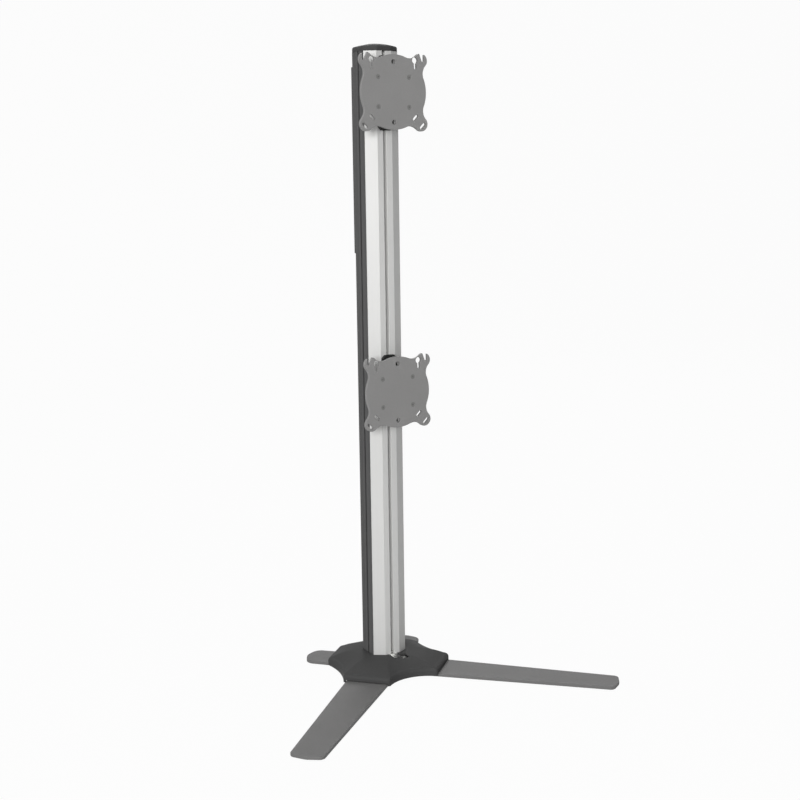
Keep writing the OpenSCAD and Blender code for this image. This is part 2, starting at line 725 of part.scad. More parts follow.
// A washer under the slot screw's head and a spacer under the down screw's head
module foot_bracket_washers() {
    color("#b0b0b0") at_head(0) {
        translate([0, 0, foot_screw_z]) difference() {
            bar_y(foot_washer_r, foot_bracket_t + 0.1, foot_bracket_t + foot_washer_t + 0.1);
            bar_y(m5_r + 0.1, 0, foot_bracket_t + 3 * foot_washer_t);
        }
        translate([foot_down_screw_x, -foot_down_screw_d, column_bottom + foot_bracket_t]) difference() {
            cylinder(r = foot_spacer_r, h = foot_spacer_h);
            translate([0, 0, -cut_extra]) cylinder(r = m5_r + 0.1, h = 2 * cut_extra + foot_spacer_h);
        }
    }
}

module foot_slot_nut() {
    half_h = 8;
    color("#8c8c8c") at_head(foot_screw_z) difference() {
        translate([-nut_half_w, nut_front, -half_h]) cube([2 * nut_half_w, nut_t, 2 * half_h]);
        bar_y(m5_r + thread_gap, -nut_front - nut_t - cut_extra, cut_extra);
    }
}

// The outline of a carriage's base, with cut corners
carriage_bevel = 5;
module carriage_outline() {
    w = carriage_half_w;
    h = carriage_half_h;
    c = carriage_bevel;
    polygon([[w - c, h], [c - w, h], [-w, h - c], [-w, c - h],
        [c - w, -h], [w - c, -h], [w, c - h], [w, h - c]]);
}

// The carriage: base, key in the slot, two screw bosses and the tilt knuckle
module carriage() {
    key_half = slot_w / 2 - 0.2;
    key_in = slot_lip_t - 0.6;
    bosses_in = carriage_t + running_gap;
    rib_half = 3;
    rib_drop = 3;
    difference() {
        union() {
            slab_y(running_gap, bosses_in) carriage_outline();
            translate([-key_half, -running_gap - 0.1, -nut_half_h])
                cube([2 * key_half, key_in + running_gap + 0.1, 2 * nut_half_h]);
            for (side = [-1, 1]) translate([0, 0, side * clamp_screw_z])
                bar_y(clamp_boss_r, running_gap, clamp_boss_reach);
            translate([-rib_half, rib_drop - clamp_boss_reach, -clamp_screw_z])
                cube([2 * rib_half, clamp_boss_reach - rib_drop - bosses_in + 0.5, 2 * clamp_screw_z]);
            translate([-knuckle_half_w, -tilt_axis_d, -knuckle_r])
                cube([2 * knuckle_half_w, tilt_axis_d - bosses_in + 0.5, 2 * knuckle_r]);
            translate([0, -tilt_axis_d, 0]) bar_x(knuckle_r, -knuckle_half_w, knuckle_half_w);
        }
        for (side = [-1, 1]) translate([0, 0, side * clamp_screw_z]) {
            bar_y(m5_r + 0.25, -key_in - cut_extra, clamp_boss_reach + cut_extra);
            bar_y(m5_head_r + 0.35, head_seat_d, clamp_boss_reach + cut_extra);
        }
        translate([0, -tilt_axis_d, 0])
            bar_x(tilt_bolt_r + thread_gap, -knuckle_half_w - cut_extra, knuckle_half_w + cut_extra);
    }
}

// The long nut that both clamp screws draw against the slot's lips
module slot_nut() {
    difference() {
        translate([-nut_half_w, nut_front, -nut_half_h]) cube([2 * nut_half_w, nut_t, 2 * nut_half_h]);
        for (side = [-1, 1]) translate([0, 0, side * clamp_screw_z])
            bar_y(m5_r + thread_gap, -nut_front - nut_t - cut_extra, cut_extra);
    }
}

module clamp_screw(side) {
    translate([0, -head_seat_d - 0.05, side * clamp_screw_z]) rotate([90, 0, 0])
        socket_screw(head_seat_d + nut_front + nut_t + 0.4);
}

// The yoke: a back plate for the screen plate and two ears on the tilt bolt
module yoke() {
    corner = 5;
    difference() {
        union() {
            slab_y(yoke_back_d, plate_back_d) union() {
                square([2 * yoke_half_w, 2 * (yoke_half_h - corner)], center = true);
                square([2 * (yoke_half_w - corner), 2 * yoke_half_h], center = true);
                for (sx = [-1, 1], sz = [-1, 1])
                    translate([sx * (yoke_half_w - corner), sz * (yoke_half_h - corner)]) circle(r = corner);
            }
            for (side = [-1, 1]) {
                x1 = side < 0 ? -ear_out : ear_in;
                translate([x1, -plate_back_d + 0.5, -yoke_ear_r])
                    cube([yoke_t, plate_back_d - tilt_axis_d - 0.5, 2 * yoke_ear_r]);
                translate([0, -tilt_axis_d, 0]) bar_x(yoke_ear_r, x1, x1 + yoke_t);
            }
        }
        translate([0, -tilt_axis_d, 0])
            bar_x(tilt_bolt_r + thread_gap, -ear_out - cut_extra, ear_out + cut_extra);
        for (sx = [-1, 1], sz = [-1, 1]) translate([sx * plate_screw_x, 0, sz * plate_screw_z])
            bar_y(m4_r + thread_gap, yoke_back_d - cut_extra, plate_back_d + cut_extra);
    }
}

module friction_washers() {
    disc_r = knuckle_r;
    translate([0, -tilt_axis_d, 0]) for (x = [-ear_in + 0.05, knuckle_half_w + 0.05]) difference() {
        bar_x(disc_r, x, x + washer_t);
        bar_x(tilt_bolt_r + thread_gap, x - cut_extra, x + washer_t + cut_extra);
    }
}

// The tilt bolt, with its hexagon head on the left
bolt_flat_r = 7.4;
bolt_head_t = 5;
nut_height = 6.4;
module tilt_bolt() {
    translate([0, -tilt_axis_d, 0]) {
        bar_x(tilt_bolt_r, -ear_out - 1, ear_out + nut_height + 1.5);
        translate([-ear_out - bolt_head_t, 0, 0]) rotate([0, 90, 0])
            cylinder(r = bolt_flat_r, h = bolt_head_t, $fn = 6);
    }
}

module tilt_nut() {
    translate([ear_out, -tilt_axis_d, 0]) difference() {
        rotate([0, 90, 0]) cylinder(r = bolt_flat_r, h = nut_height, $fn = 6);
        bar_x(tilt_bolt_r + thread_gap, -cut_extra, nut_height + cut_extra);
    }
}

// A slot drawn about the origin along a direction
module slot_shape(r, len, turn) {
    rotate(turn) {
        square([len - 2 * r, 2 * r], center = true);
        for (side = [-1, 1]) translate([side * (len / 2 - r), 0]) circle(r = r);
    }
}

// A bar with round ends between two points
module link_shape(a, b, r) {
    d = b - a;
    translate((a + b) / 2) slot_shape(r, norm(d) + 2 * r, atan2(d[1], d[0]));
}

// The screen plate's outline: a disc and four ears, joined by curves that touch both
ear_c = ear_at * sqrt(2);
disc_c = plate_disc_r + ear_fillet_r;
tip_c = ear_r + ear_fillet_r;
fillet_along = (disc_c * disc_c - tip_c * tip_c + ear_c * ear_c) / (2 * ear_c);
fillet_across = sqrt(disc_c * disc_c - fillet_along * fillet_along);
blend_bite = 0.03;
module plate_outline() {
    hollow = [fillet_along, fillet_across];
    on_disc = hollow * plate_disc_r / disc_c;
    on_ear = [ear_c, 0] + (hollow - [ear_c, 0]) * ear_r / tip_c;
    half = [on_disc, hollow, on_ear];
    circle(r = plate_disc_r, $fn = 128);
    for (turn = [45, 135, 225, 315]) rotate(turn) {
        translate([ear_c, 0]) circle(r = ear_r);
        difference() {
            polygon(concat([[plate_disc_r / 2, 0]], [for (p = half) [p[0], -p[1]]],
                [for (i = [2:-1:0]) half[i]]));
            for (side = [-1, 1])
                translate([hollow[0], side * hollow[1]]) circle(r = ear_fillet_r + blend_bite);
        }
    }
}

// Holes of the screen plate: slots below, keyholes and open hooks above
hook_end = [1.1, -2.2];
hook_mouth = 12;
module plate_holes() {
    for (side = [-1, 1]) {
        translate([side * vesa_small_half, -vesa_small_half])
            slot_shape(vesa_slot_r, small_slot_len, side * 45);
        translate([side * vesa_large_half, -vesa_large_half])
            slot_shape(vesa_slot_r, large_slot_len, side * 45);
        translate([side * vesa_small_half, vesa_small_half]) {
            link_shape([side * 0.4, -0.9], [side * -0.2, keyhole_rise], vesa_slot_r);
            translate([side * -0.2, keyhole_rise]) circle(r = keyhole_r);
        }
        translate([side * vesa_large_half, vesa_large_half]) {
            translate([side * hook_end[0], hook_end[1]]) circle(r = vesa_slot_r);
            polygon([[side * (hook_end[0] - vesa_slot_r * 0.92), hook_end[1] - vesa_slot_r * 0.4],
                [side * (hook_end[0] + vesa_slot_r * 0.98), hook_end[1] + vesa_slot_r * 0.2],
                [side * (hook_end[0] + vesa_slot_r), hook_mouth],
                [side * (hook_end[0] - 8.2), hook_mouth]]);
        }
        translate([0, side * clamp_screw_z]) circle(r = driver_hole_r);
    }
}

module screen_plate() {
    difference() {
        slab_y(plate_back_d, plate_front_d) difference() {
            plate_outline();
            plate_holes();
        }
        for (sx = [-1, 1], sz = [-1, 1]) translate([sx * plate_screw_x, 0, sz * plate_screw_z]) {
            bar_y(m4_r + 0.2, plate_back_d - cut_extra, plate_front_d + cut_extra);
            translate([0, -plate_front_d, 0]) rotate([-90, 0, 0])
                cylinder(r1 = m4_head_r + 0.25, r2 = m4_r + 0.2, h = m4_head_h);
        }
    }
}

// The four countersunk screws that hold the screen plate on the yoke
module plate_screws() {
    for (sx = [-1, 1], sz = [-1, 1]) translate([sx * plate_screw_x, -plate_front_d, sz * plate_screw_z])
        rotate([-90, 0, 0]) difference() {
            union() {
                translate([0, 0, 0.15]) cylinder(r1 = m4_head_r, r2 = m4_r, h = m4_head_h);
                translate([0, 0, 0.15]) cylinder(r = m4_r, h = plate_t + yoke_t + 1.5);
            }
            translate([0, 0, -cut_extra]) cylinder(r = 1.45, h = cut_extra + 1.6, $fn = 6);
        }
}

module upper_carriage() {
    color("#6a6a6a") at_head(upper_head_z) carriage();
}

module upper_slot_nut() {
    color("#8c8c8c") at_head(upper_head_z) slot_nut();
}

module upper_clamp_screw_high() {
    color("#2e2e2e") at_head(upper_head_z) clamp_screw(1);
}

module upper_clamp_screw_low() {
    color("#2e2e2e") at_head(upper_head_z) clamp_screw(-1);
}

module upper_yoke() {
    color("#6a6a6a") at_head(upper_head_z) yoke();
}

module upper_friction_washers() {
    color("#303030") at_head(upper_head_z) friction_washers();
}

module upper_tilt_bolt() {
    color("#b0b0b0") at_head(upper_head_z) tilt_bolt();
}

module upper_tilt_nut() {
    color("#b0b0b0") at_head(upper_head_z) tilt_nut();
}

module upper_screen_plate() {
    color("#8a8a88") at_head(upper_head_z) screen_plate();
}

module upper_plate_screws() {
    color("#767674") at_head(upper_head_z) plate_screws();
}

module lower_carriage() {
    color("#6a6a6a") at_head(lower_head_z) carriage();
}

module lower_slot_nut() {
    color("#8c8c8c") at_head(lower_head_z) slot_nut();
}

module lower_clamp_screw_high() {
    color("#2e2e2e") at_head(lower_head_z) clamp_screw(1);
}

module lower_clamp_screw_low() {
    color("#2e2e2e") at_head(lower_head_z) clamp_screw(-1);
}

module lower_yoke() {
    color("#6a6a6a") at_head(lower_head_z) yoke();
}

module lower_friction_washers() {
    color("#303030") at_head(lower_head_z) friction_washers();
}

module lower_tilt_bolt() {
    color("#b0b0b0") at_head(lower_head_z) tilt_bolt();
}

module lower_tilt_nut() {
    color("#b0b0b0") at_head(lower_head_z) tilt_nut();
}

module lower_screen_plate() {
    color("#8a8a88") at_head(lower_head_z) screen_plate();
}

module lower_plate_screws() {
    color("#767674") at_head(lower_head_z) plate_screws();
}

front_left_leg();
front_right_leg();
rear_left_leg();
rear_right_leg();
floor_pads();
hub_plate();
leg_screws();
column_bolts();
hub_cover();
hub_cover_screws();
column();
left_channel_insert();
right_channel_insert();
top_cap();
rear_cable_cover();
rear_cover_clips();
foot_bracket();
foot_bracket_screws();
foot_bracket_washers();
foot_slot_nut();
upper_carriage();
upper_slot_nut();
upper_clamp_screw_high();
upper_clamp_screw_low();
upper_yoke();
upper_friction_washers();
upper_tilt_bolt();
upper_tilt_nut();
upper_screen_plate();
upper_plate_screws();
lower_carriage();
lower_slot_nut();
lower_clamp_screw_high();
lower_clamp_screw_low();
lower_yoke();
lower_friction_washers();
lower_tilt_bolt();
lower_tilt_nut();
lower_screen_plate();
lower_plate_screws();
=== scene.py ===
# %% [markdown]
# A freestanding stand for two screens, dressed for its photograph.
# The solid parts were drawn in a CAD program and packed as one model, in metres. This lesson
# keeps every part where that model puts it, gives each one a finish that is worked out from
# nodes, and remakes the few parts whose soft edges a CAD solid can't show.

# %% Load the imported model
import json
import math
import bpy
import numpy as np
from mathutils import Matrix, Vector
from mathutils.geometry import tessellate_polygon


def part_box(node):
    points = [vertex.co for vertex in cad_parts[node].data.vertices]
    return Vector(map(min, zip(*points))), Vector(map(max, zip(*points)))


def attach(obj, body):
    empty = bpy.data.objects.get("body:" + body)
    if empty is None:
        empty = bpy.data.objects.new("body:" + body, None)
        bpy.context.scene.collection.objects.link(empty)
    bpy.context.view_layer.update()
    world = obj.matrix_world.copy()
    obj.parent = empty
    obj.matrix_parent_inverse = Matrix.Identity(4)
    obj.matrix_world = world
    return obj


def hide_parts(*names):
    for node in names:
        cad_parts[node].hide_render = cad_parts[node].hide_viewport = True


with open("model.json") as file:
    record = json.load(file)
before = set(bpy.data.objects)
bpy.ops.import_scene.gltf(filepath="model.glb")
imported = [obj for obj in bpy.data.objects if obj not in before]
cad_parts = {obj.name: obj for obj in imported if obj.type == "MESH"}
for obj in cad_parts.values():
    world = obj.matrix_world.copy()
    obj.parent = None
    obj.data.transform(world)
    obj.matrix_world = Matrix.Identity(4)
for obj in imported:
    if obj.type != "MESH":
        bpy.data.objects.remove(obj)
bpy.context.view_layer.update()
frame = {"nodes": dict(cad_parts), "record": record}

# %% [markdown]
# Two habits keep the rest readable. Sizes are written in millimetres, as on a drawing, and are
# turned to metres once. Greys are written as they look on a screen, from 0 to 255, and are
# turned to the linear values that a shader needs once. The few bare metals have linear colours.

# %% Millimetres and screen colours
MM = 0.001
SCREEN_WHITE, SCREEN_POWER = 255, 2.2


def screen_grey(level, warm=0.0):
    """Linear colour of a screen grey: (level / 255) to the power 2.2.

    Red is raised and blue is lowered by the share warm.
    """
    linear = (level / SCREEN_WHITE) ** SCREEN_POWER
    return (linear * (1 + warm), linear, linear * (1 - warm), 1.0)


print("screen grey 139 is", round(screen_grey(139)[0], 3), "in linear light")

# %% [markdown]
# The camera comes first, because everything is judged through it. Its place was found by fitting
# a pinhole camera to the plate's holes, the column's edges and the legs in the photograph. It is
# stated here as a maker would say it: how far round, how high, how far away, which point it
# looks at, and how much it is rolled. A matrix with the right, up and back directions as its
# columns says the same to Blender without any tracking constraint.

# %% The camera
CAMERA_AROUND = math.radians(-29.03)
CAMERA_ABOVE = math.radians(9.33)
CAMERA_ROLL = math.radians(-0.79)
CAMERA_AWAY = 2185.79
CAMERA_AIM = (0.0, 92.6, 498.0)
AIM_RIGHT, AIM_UP = 32.92, -51.25
FOCAL_PIXELS, FRAME_PIXELS, SENSOR = 1362.91, 800, 36.0
SIGHT_END = 50

back = Vector((math.sin(CAMERA_AROUND) * math.cos(CAMERA_ABOVE),
               -math.cos(CAMERA_AROUND) * math.cos(CAMERA_ABOVE), math.sin(CAMERA_ABOVE)))
level = Vector((math.cos(CAMERA_AROUND), math.sin(CAMERA_AROUND), 0.0))
raised = back.cross(level)
right = math.cos(CAMERA_ROLL) * level + math.sin(CAMERA_ROLL) * raised
up = math.cos(CAMERA_ROLL) * raised - math.sin(CAMERA_ROLL) * level
eye = (Vector(CAMERA_AIM) + level * AIM_RIGHT + raised * AIM_UP + back * CAMERA_AWAY) * MM

lens = bpy.data.cameras.new("photo_camera")
lens.sensor_width = SENSOR
lens.lens = FOCAL_PIXELS * SENSOR / FRAME_PIXELS
lens.clip_end = SIGHT_END
camera = bpy.data.objects.new("photo_camera", lens)
bpy.context.scene.collection.objects.link(camera)
camera.matrix_world = Matrix([[right[i], up[i], back[i], eye[i]] for i in range(3)]
                             + [[0, 0, 0, 1]])
bpy.context.scene.camera = camera
print("camera at", [round(v, 3) for v in eye], "lens", round(lens.lens, 2), "mm")

# %% [markdown]
# Every new surface in this lesson is a grid of points: its rows are steps along a profile, its
# columns are steps along a path, and four neighbours make a face. The points are worked out as
# whole arrays, so there is no loop over them. These helpers join such a grid and put it into a
# mesh. A row that is a ring has its last point joined to its first, and a profile that comes
# back to its start has its last row joined to its first as well.


# %% Helper: a mesh from a grid of points
def grid_faces(rows, columns, closed=True):
    """Quads of a grid: each point is joined to the next in its row and to both in the row above.

    The next of the last column is the first one where closed is true.
    """
    j, i = np.meshgrid(np.arange(rows - 1), np.arange(columns if closed else columns - 1),
                       indexing="ij")
    n = (i + 1) % columns
    corners = [j * columns + i, j * columns + n, (j + 1) * columns + n, (j + 1) * columns + i]
    return np.stack(corners, -1).reshape(-1, 4)


def loop_faces(rows, columns):
    """Quads of a closed grid whose last row is joined to its first: numbers past the end wrap."""
    return grid_faces(rows + 1, columns) % (rows * columns)


def mesh_piece(name, points, faces):
    """Puts points, in millimetres, and a list of faces into a new object at the origin."""
    mesh = bpy.data.meshes.new(name)
    mesh.from_pydata((np.asarray(points).reshape(-1, 3) * MM).tolist(), [], faces)
    mesh.validate()
    piece = bpy.data.objects.new(name, mesh)
    bpy.context.scene.collection.objects.link(piece)
    return piece


print("3 rings of 8 points make", len(grid_faces(3, 8)), "faces, and a loop", len(loop_faces(3, 8)))

# %% [markdown]
# The studio is a pale sweep: a floor that bends up into a wall behind the stand. It could be a
# plane and a second plane, but their joint would show as a line, so the sweep is one sheet whose
# profile is a floor, a quarter circle and a wall.

# %% The sweep behind the stand
SWEEP_HALF, SWEEP_FRONT, SWEEP_BACK, SWEEP_BEND, SWEEP_TOP = 6000, -6000, 3200, 1400, 5200
BEND_STEPS = 24
bend = np.linspace(0, math.pi / 2, BEND_STEPS)
profile_y = np.concatenate([[SWEEP_FRONT], SWEEP_BACK + SWEEP_BEND * np.sin(bend),
                            [SWEEP_BACK + SWEEP_BEND]])
profile_z = np.concatenate([[0], SWEEP_BEND * (1 - np.cos(bend)), [SWEEP_TOP]])
across = np.array([-SWEEP_HALF, SWEEP_HALF])
sweep_points = np.stack([np.tile(across, len(profile_y)), np.repeat(profile_y, 2),
                         np.repeat(profile_z, 2)], -1)
sweep = mesh_piece("studio_sweep", sweep_points,
                   grid_faces(len(profile_y), 2, closed=False).tolist())
sweep.data.shade_smooth()
print("sweep:", len(sweep.data.polygons), "faces")

# %% [markdown]
# Materials are built from nodes, and a node tree reads best when each line of code is one step
# of the sum. These helpers make one node each: a Math node, a plain shader of one grey, or a mix
# of two shaders. A value is either a number, which is set on the socket, or another node's
# output, which is linked to it.


# %% Helper: nodes
def new_material(name):
    """A material whose node tree holds only its output."""
    material = bpy.data.materials.new(name)
    material.use_nodes = True
    tree = material.node_tree
    tree.nodes.clear()
    return material, tree, tree.nodes.new("ShaderNodeOutputMaterial")


def feed(tree, socket, value):
    """Sets a socket to a number, or links another node's output to it."""
    if isinstance(value, (int, float)):
        socket.default_value = value
    else:
        tree.links.new(value, socket)


def maths(tree, operation, first, second, clamp=False):
    """One Math node of two values."""
    node = tree.nodes.new("ShaderNodeMath")
    node.operation = operation
    node.use_clamp = clamp
    feed(tree, node.inputs[0], first)
    feed(tree, node.inputs[1], second)
    return node.outputs[0]


def plain_shader(tree, kind, grey, strength=None):
    """A Diffuse, Emission or Background node of one grey, with a strength where it has one."""
    node = tree.nodes.new(kind)
    node.inputs["Color"].default_value = (grey, grey, grey, 1)
    if strength is not None:
        feed(tree, node.inputs["Strength"], strength)
    return node.outputs[0]


def mix_shaders(tree, share, first, second):
    """A Mix Shader: first * (1 - share) + second * share."""
    node = tree.nodes.new("ShaderNodeMixShader")
    for socket, value in zip(node.inputs, (share, first, second)):
        tree.links.new(value, socket)
    return node.outputs[0]


print("helpers for one node each: maths, plain_shader, mix_shaders")

# %% [markdown]
# The sweep is white by its own colour where it is seen, so no extra light is needed. Light Path
# tells which rays look at it: those of the camera, and those that a gloss or a glass sends on.
# For them most of the sweep's colour is an even white, and the rest is pale paper, which keeps
# the stand's soft shadow. All other rays meet the paper alone, so the sweep doesn't glow.

# %% The sweep's material
SWEEP_LIFT, PAPER_GREY, FULL_WHITE = 0.96, 0.62, 1.0


def seen_directly(tree):
    """A mask of rays that see a surface: the largest of camera, glossy and transmission ray."""
    ray = tree.nodes.new("ShaderNodeLightPath").outputs
    camera_or_gloss = maths(tree, "MAXIMUM", ray["Is Camera Ray"], ray["Is Glossy Ray"])
    return maths(tree, "MAXIMUM", camera_or_gloss, ray["Is Transmission Ray"])


sweep_material, tree, output = new_material("white_sweep")
paper = plain_shader(tree, "ShaderNodeBsdfDiffuse", PAPER_GREY)
white = plain_shader(tree, "ShaderNodeEmission", FULL_WHITE, FULL_WHITE)
lift = maths(tree, "MULTIPLY", seen_directly(tree), SWEEP_LIFT)
tree.links.new(mix_shaders(tree, lift, paper, white), output.inputs["Surface"])
sweep.data.materials.append(sweep_material)
print("sweep: paper", PAPER_GREY, "lifted by", SWEEP_LIFT)

# %% [markdown]
# The air round the stand gives the soft light, and it is brighter on the left than on the right,
# as in the photograph. The dot product of a direction with the bright side runs from -1 to 1,
# and Map Range turns it smoothly into a strength. The rays that see the air itself meet white.

# %% The air
BRIGHT_SIDE, DIM_LIGHT, BRIGHT_LIGHT = (-0.97, -0.24, 0.0), 0.02, 0.34
world = bpy.data.worlds.new("studio_air")
world.use_nodes = True
bpy.context.scene.world = world
tree = world.node_tree
tree.nodes.clear()
towards = tree.nodes.new("ShaderNodeVectorMath")
towards.operation = "DOT_PRODUCT"
tree.links.new(tree.nodes.new("ShaderNodeTexCoord").outputs["Generated"], towards.inputs[0])
towards.inputs[1].default_value = BRIGHT_SIDE
spread = tree.nodes.new("ShaderNodeMapRange")
spread.interpolation_type = "SMOOTHSTEP"
tree.links.new(towards.outputs["Value"], spread.inputs["Value"])
for label, value in (("From Min", -1.0), ("From Max", 1.0),
                     ("To Min", DIM_LIGHT), ("To Max", BRIGHT_LIGHT)):
    spread.inputs[label].default_value = value
soft_air = plain_shader(tree, "ShaderNodeBackground", FULL_WHITE, spread.outputs["Result"])
white_air = plain_shader(tree, "ShaderNodeBackground", FULL_WHITE, FULL_WHITE)
output = tree.nodes.new("ShaderNodeOutputWorld")
tree.links.new(mix_shaders(tree, seen_directly(tree), soft_air, white_air),
               output.inputs["Surface"])
bpy.context.scene.view_settings.view_transform = "Standard"
print("air: from", DIM_LIGHT, "on the right to", BRIGHT_LIGHT, "on the left")

# %% [markdown]
# In the photograph the facet of the column that faces the camera is the brightest and the one
# that looks to the right is dark, so the key light is a large panel a little to the left of the
# camera. It can't stand much further left, because the slots in the plates look dark: the plate
# shades what lies behind it. A weak panel on the far side keeps the back readable, and one
# overhead lights the legs and the floor. Panels are area lights aimed at the column's middle.

# %% The lamps
LAMP_AIM = Vector((0, 0.09, 0.5))
LAMPS = {"key_panel": ((-2.6, -2.85, 1.25), 1.3, 102),
         "far_panel": ((2.0, 3.0, 2.6), 1.6, 26),
         "top_panel": ((-0.3, -0.2, 3.6), 2.4, 40)}
for name, (place, size, power) in LAMPS.items():
    light = bpy.data.lights.new(name, "AREA")
    light.size = size
    light.energy = power
    lamp = bpy.data.objects.new(name, light)
    bpy.context.scene.collection.objects.link(lamp)
    lamp.location = place
    lamp.rotation_euler = (Vector(place) - LAMP_AIM).to_track_quat("Z", "Y").to_euler()
    print(name, size, "m wide,", power, "W")

# %% [markdown]
# Finishes share a few effects, and each effect is a small node group with named inputs, built
# once. Inside a group most steps are the same few: a noise, its swing about a half, a sum, and a
# colour made lighter or darker by a value.


# %% Helper: node groups
def new_group(name, inputs, outputs):
    """A shader node group whose inputs are (name, kind, value) and outputs (name, kind)."""
    group = bpy.data.node_groups.new(name, "ShaderNodeTree")
    for label, kind, value in inputs:
        socket = group.interface.new_socket(label, in_out="INPUT",
                                            socket_type="NodeSocket" + kind)
        socket.default_value = value
    for label, kind in outputs:
        group.interface.new_socket(label, in_out="OUTPUT", socket_type="NodeSocket" + kind)
    return group, group.nodes.new("NodeGroupInput"), group.nodes.new("NodeGroupOutput")


def noise(tree, vector, scale, detail):
    """One Noise texture, as a value between 0 and 1 that clusters round a half."""
    node = tree.nodes.new("ShaderNodeTexNoise")
    node.inputs["Detail"].default_value = detail
    tree.links.new(vector, node.inputs["Vector"])
    feed(tree, node.inputs["Scale"], scale)
    return node.outputs["Fac"]


def swing(tree, value, amount):
    """A noise as a change about zero: (value - 0.5) * amount."""
    return maths(tree, "MULTIPLY", maths(tree, "SUBTRACT", value, 0.5), amount)


def total(tree, first, *others):
    """The sum of all values, one Math node for each step."""
    for value in others:
        first = maths(tree, "ADD", first, value)
    return first


def scaled_colour(tree, colour, factor):
    """A colour multiplied by a value that changes over the surface."""
    node = tree.nodes.new("ShaderNodeVectorMath")
    node.operation = "SCALE"
    tree.links.new(colour, node.inputs[0])
    tree.links.new(factor, node.inputs["Scale"])
    return node.outputs["Vector"]


print("helpers inside a group: noise, swing, total, scaled_colour")

# %% [markdown]
# The first effect is the soft edge: every real edge is slightly rounded and catches light, and
# the Bevel node rounds the shading of a sharp CAD edge. Where the rounded direction leaves the
# true one there is an edge, so 1 - the dot product of the two, made steeper, is a mask for it.

# %% Group: soft edge
BEVEL_SAMPLES, EDGE_GAIN = 4, 4.0
soft_edge, given, result = new_group(
    "soft_edge", [("Radius", "Float", 0.0005)], [("Normal", "Vector"), ("Edge", "Float")])
bevel = soft_edge.nodes.new("ShaderNodeBevel")
bevel.samples = BEVEL_SAMPLES
soft_edge.links.new(given.outputs["Radius"], bevel.inputs["Radius"])
agree = soft_edge.nodes.new("ShaderNodeVectorMath")
agree.operation = "DOT_PRODUCT"
soft_edge.links.new(bevel.outputs["Normal"], agree.inputs[0])
soft_edge.links.new(soft_edge.nodes.new("ShaderNodeNewGeometry").outputs["Normal"],
                    agree.inputs[1])
away = maths(soft_edge, "SUBTRACT", 1.0, agree.outputs["Value"])
soft_edge.links.new(bevel.outputs["Normal"], result.inputs["Normal"])
soft_edge.links.new(maths(soft_edge, "MULTIPLY", away, EDGE_GAIN, clamp=True),
                    result.inputs["Edge"])
print("group:", soft_edge.name)

# %% [markdown]
# Powder coat is a sprayed and baked plastic skin. Close up it has a fine orange-peel relief, and
# from afar its grey is very slightly cloudy. Noises give both, from a few tenths of a millimetre
# to some centimetres. The edges are painted a little lighter, a painted highlight where a rounded
# edge would catch light. The group gives the colour, the roughness and the relief, and each
# painted part mixes them with its own numbers. Moulded plastic and rubber have the same kind of
# skin, so they use the group too.

# %% Group: powder coat
CLOUD_SCALE, SPECK_SCALE, SPECK_SWING, GLOSS_SWING = 22.0, 900.0, 0.14, 0.16
powder_coat, given, result = new_group(
    "powder_coat",
    [("Colour", "Color", (0.3, 0.3, 0.3, 1)), ("Roughness", "Float", 0.5),
     ("Cloud", "Float", 0.08), ("Grain", "Float", 2600.0), ("Edge", "Float", 0.0),
     ("Edge Lift", "Float", 0.25)],
    [("Colour", "Color"), ("Roughness", "Float"), ("Relief", "Float")])
place = powder_coat.nodes.new("ShaderNodeTexCoord").outputs["Object"]
fine = noise(powder_coat, place, given.outputs["Grain"], 2.0)
cloudy = noise(powder_coat, place, CLOUD_SCALE, 3.0)
specks = noise(powder_coat, place, SPECK_SCALE, 1.0)
# The edge mask times its lift is a painted highlight: the colour is lighter at every edge, where a
# rounded edge would catch light
tone_and_painted_highlight = total(powder_coat,
             swing(powder_coat, cloudy, given.outputs["Cloud"]),
             swing(powder_coat, specks, SPECK_SWING),
             maths(powder_coat, "MULTIPLY", given.outputs["Edge"], given.outputs["Edge Lift"]),
             1.0)
gloss = total(powder_coat, given.outputs["Roughness"], swing(powder_coat, fine, GLOSS_SWING))
powder_coat.links.new(scaled_colour(powder_coat, given.outputs["Colour"], tone_and_painted_highlight),
                      result.inputs["Colour"])
powder_coat.links.new(gloss, result.inputs["Roughness"])
powder_coat.links.new(fine, result.inputs["Relief"])
print("group:", powder_coat.name)

# %% [markdown]
# An aluminium extrusion is drawn through a die, which leaves faint lines along its whole length,
# and anodising makes them satin. The lines are a noise that is stretched along Z by a Mapping
# node, so they run the right way on every side of the column. Wide and thin lines are summed,
# each with its scale, its detail and its share. Turned screws use the group without the stretch.

# %% Group: drawn metal
WIDE_LINES, THIN_LINES = (420.0, 3.0, 0.6), (2400.0, 2.0, 0.4)
drawn_metal, given, result = new_group(
    "drawn_metal",
    [("Colour", "Color", (0.7, 0.7, 0.7, 1)), ("Roughness", "Float", 0.35),
     ("Lines", "Float", 0.1), ("Stretch", "Vector", (1.0, 1.0, 0.004))],
    [("Colour", "Color"), ("Roughness", "Float"), ("Relief", "Float")])
stretched = drawn_metal.nodes.new("ShaderNodeMapping")
drawn_metal.links.new(drawn_metal.nodes.new("ShaderNodeTexCoord").outputs["Object"],
                      stretched.inputs["Vector"])
drawn_metal.links.new(given.outputs["Stretch"], stretched.inputs["Scale"])
wide, thin = [
    maths(drawn_metal, "MULTIPLY", noise(drawn_metal, stretched.outputs["Vector"], scale, detail),
          share)
    for scale, detail, share in (WIDE_LINES, THIN_LINES)]
lines = total(drawn_metal, wide, thin)
change = swing(drawn_metal, lines, given.outputs["Lines"])
drawn_metal.links.new(scaled_colour(drawn_metal, given.outputs["Colour"],
                                    total(drawn_metal, change, 1.0)), result.inputs["Colour"])
drawn_metal.links.new(total(drawn_metal, given.outputs["Roughness"], change),
                      result.inputs["Roughness"])
drawn_metal.links.new(lines, result.inputs["Relief"])
print("group:", drawn_metal.name)

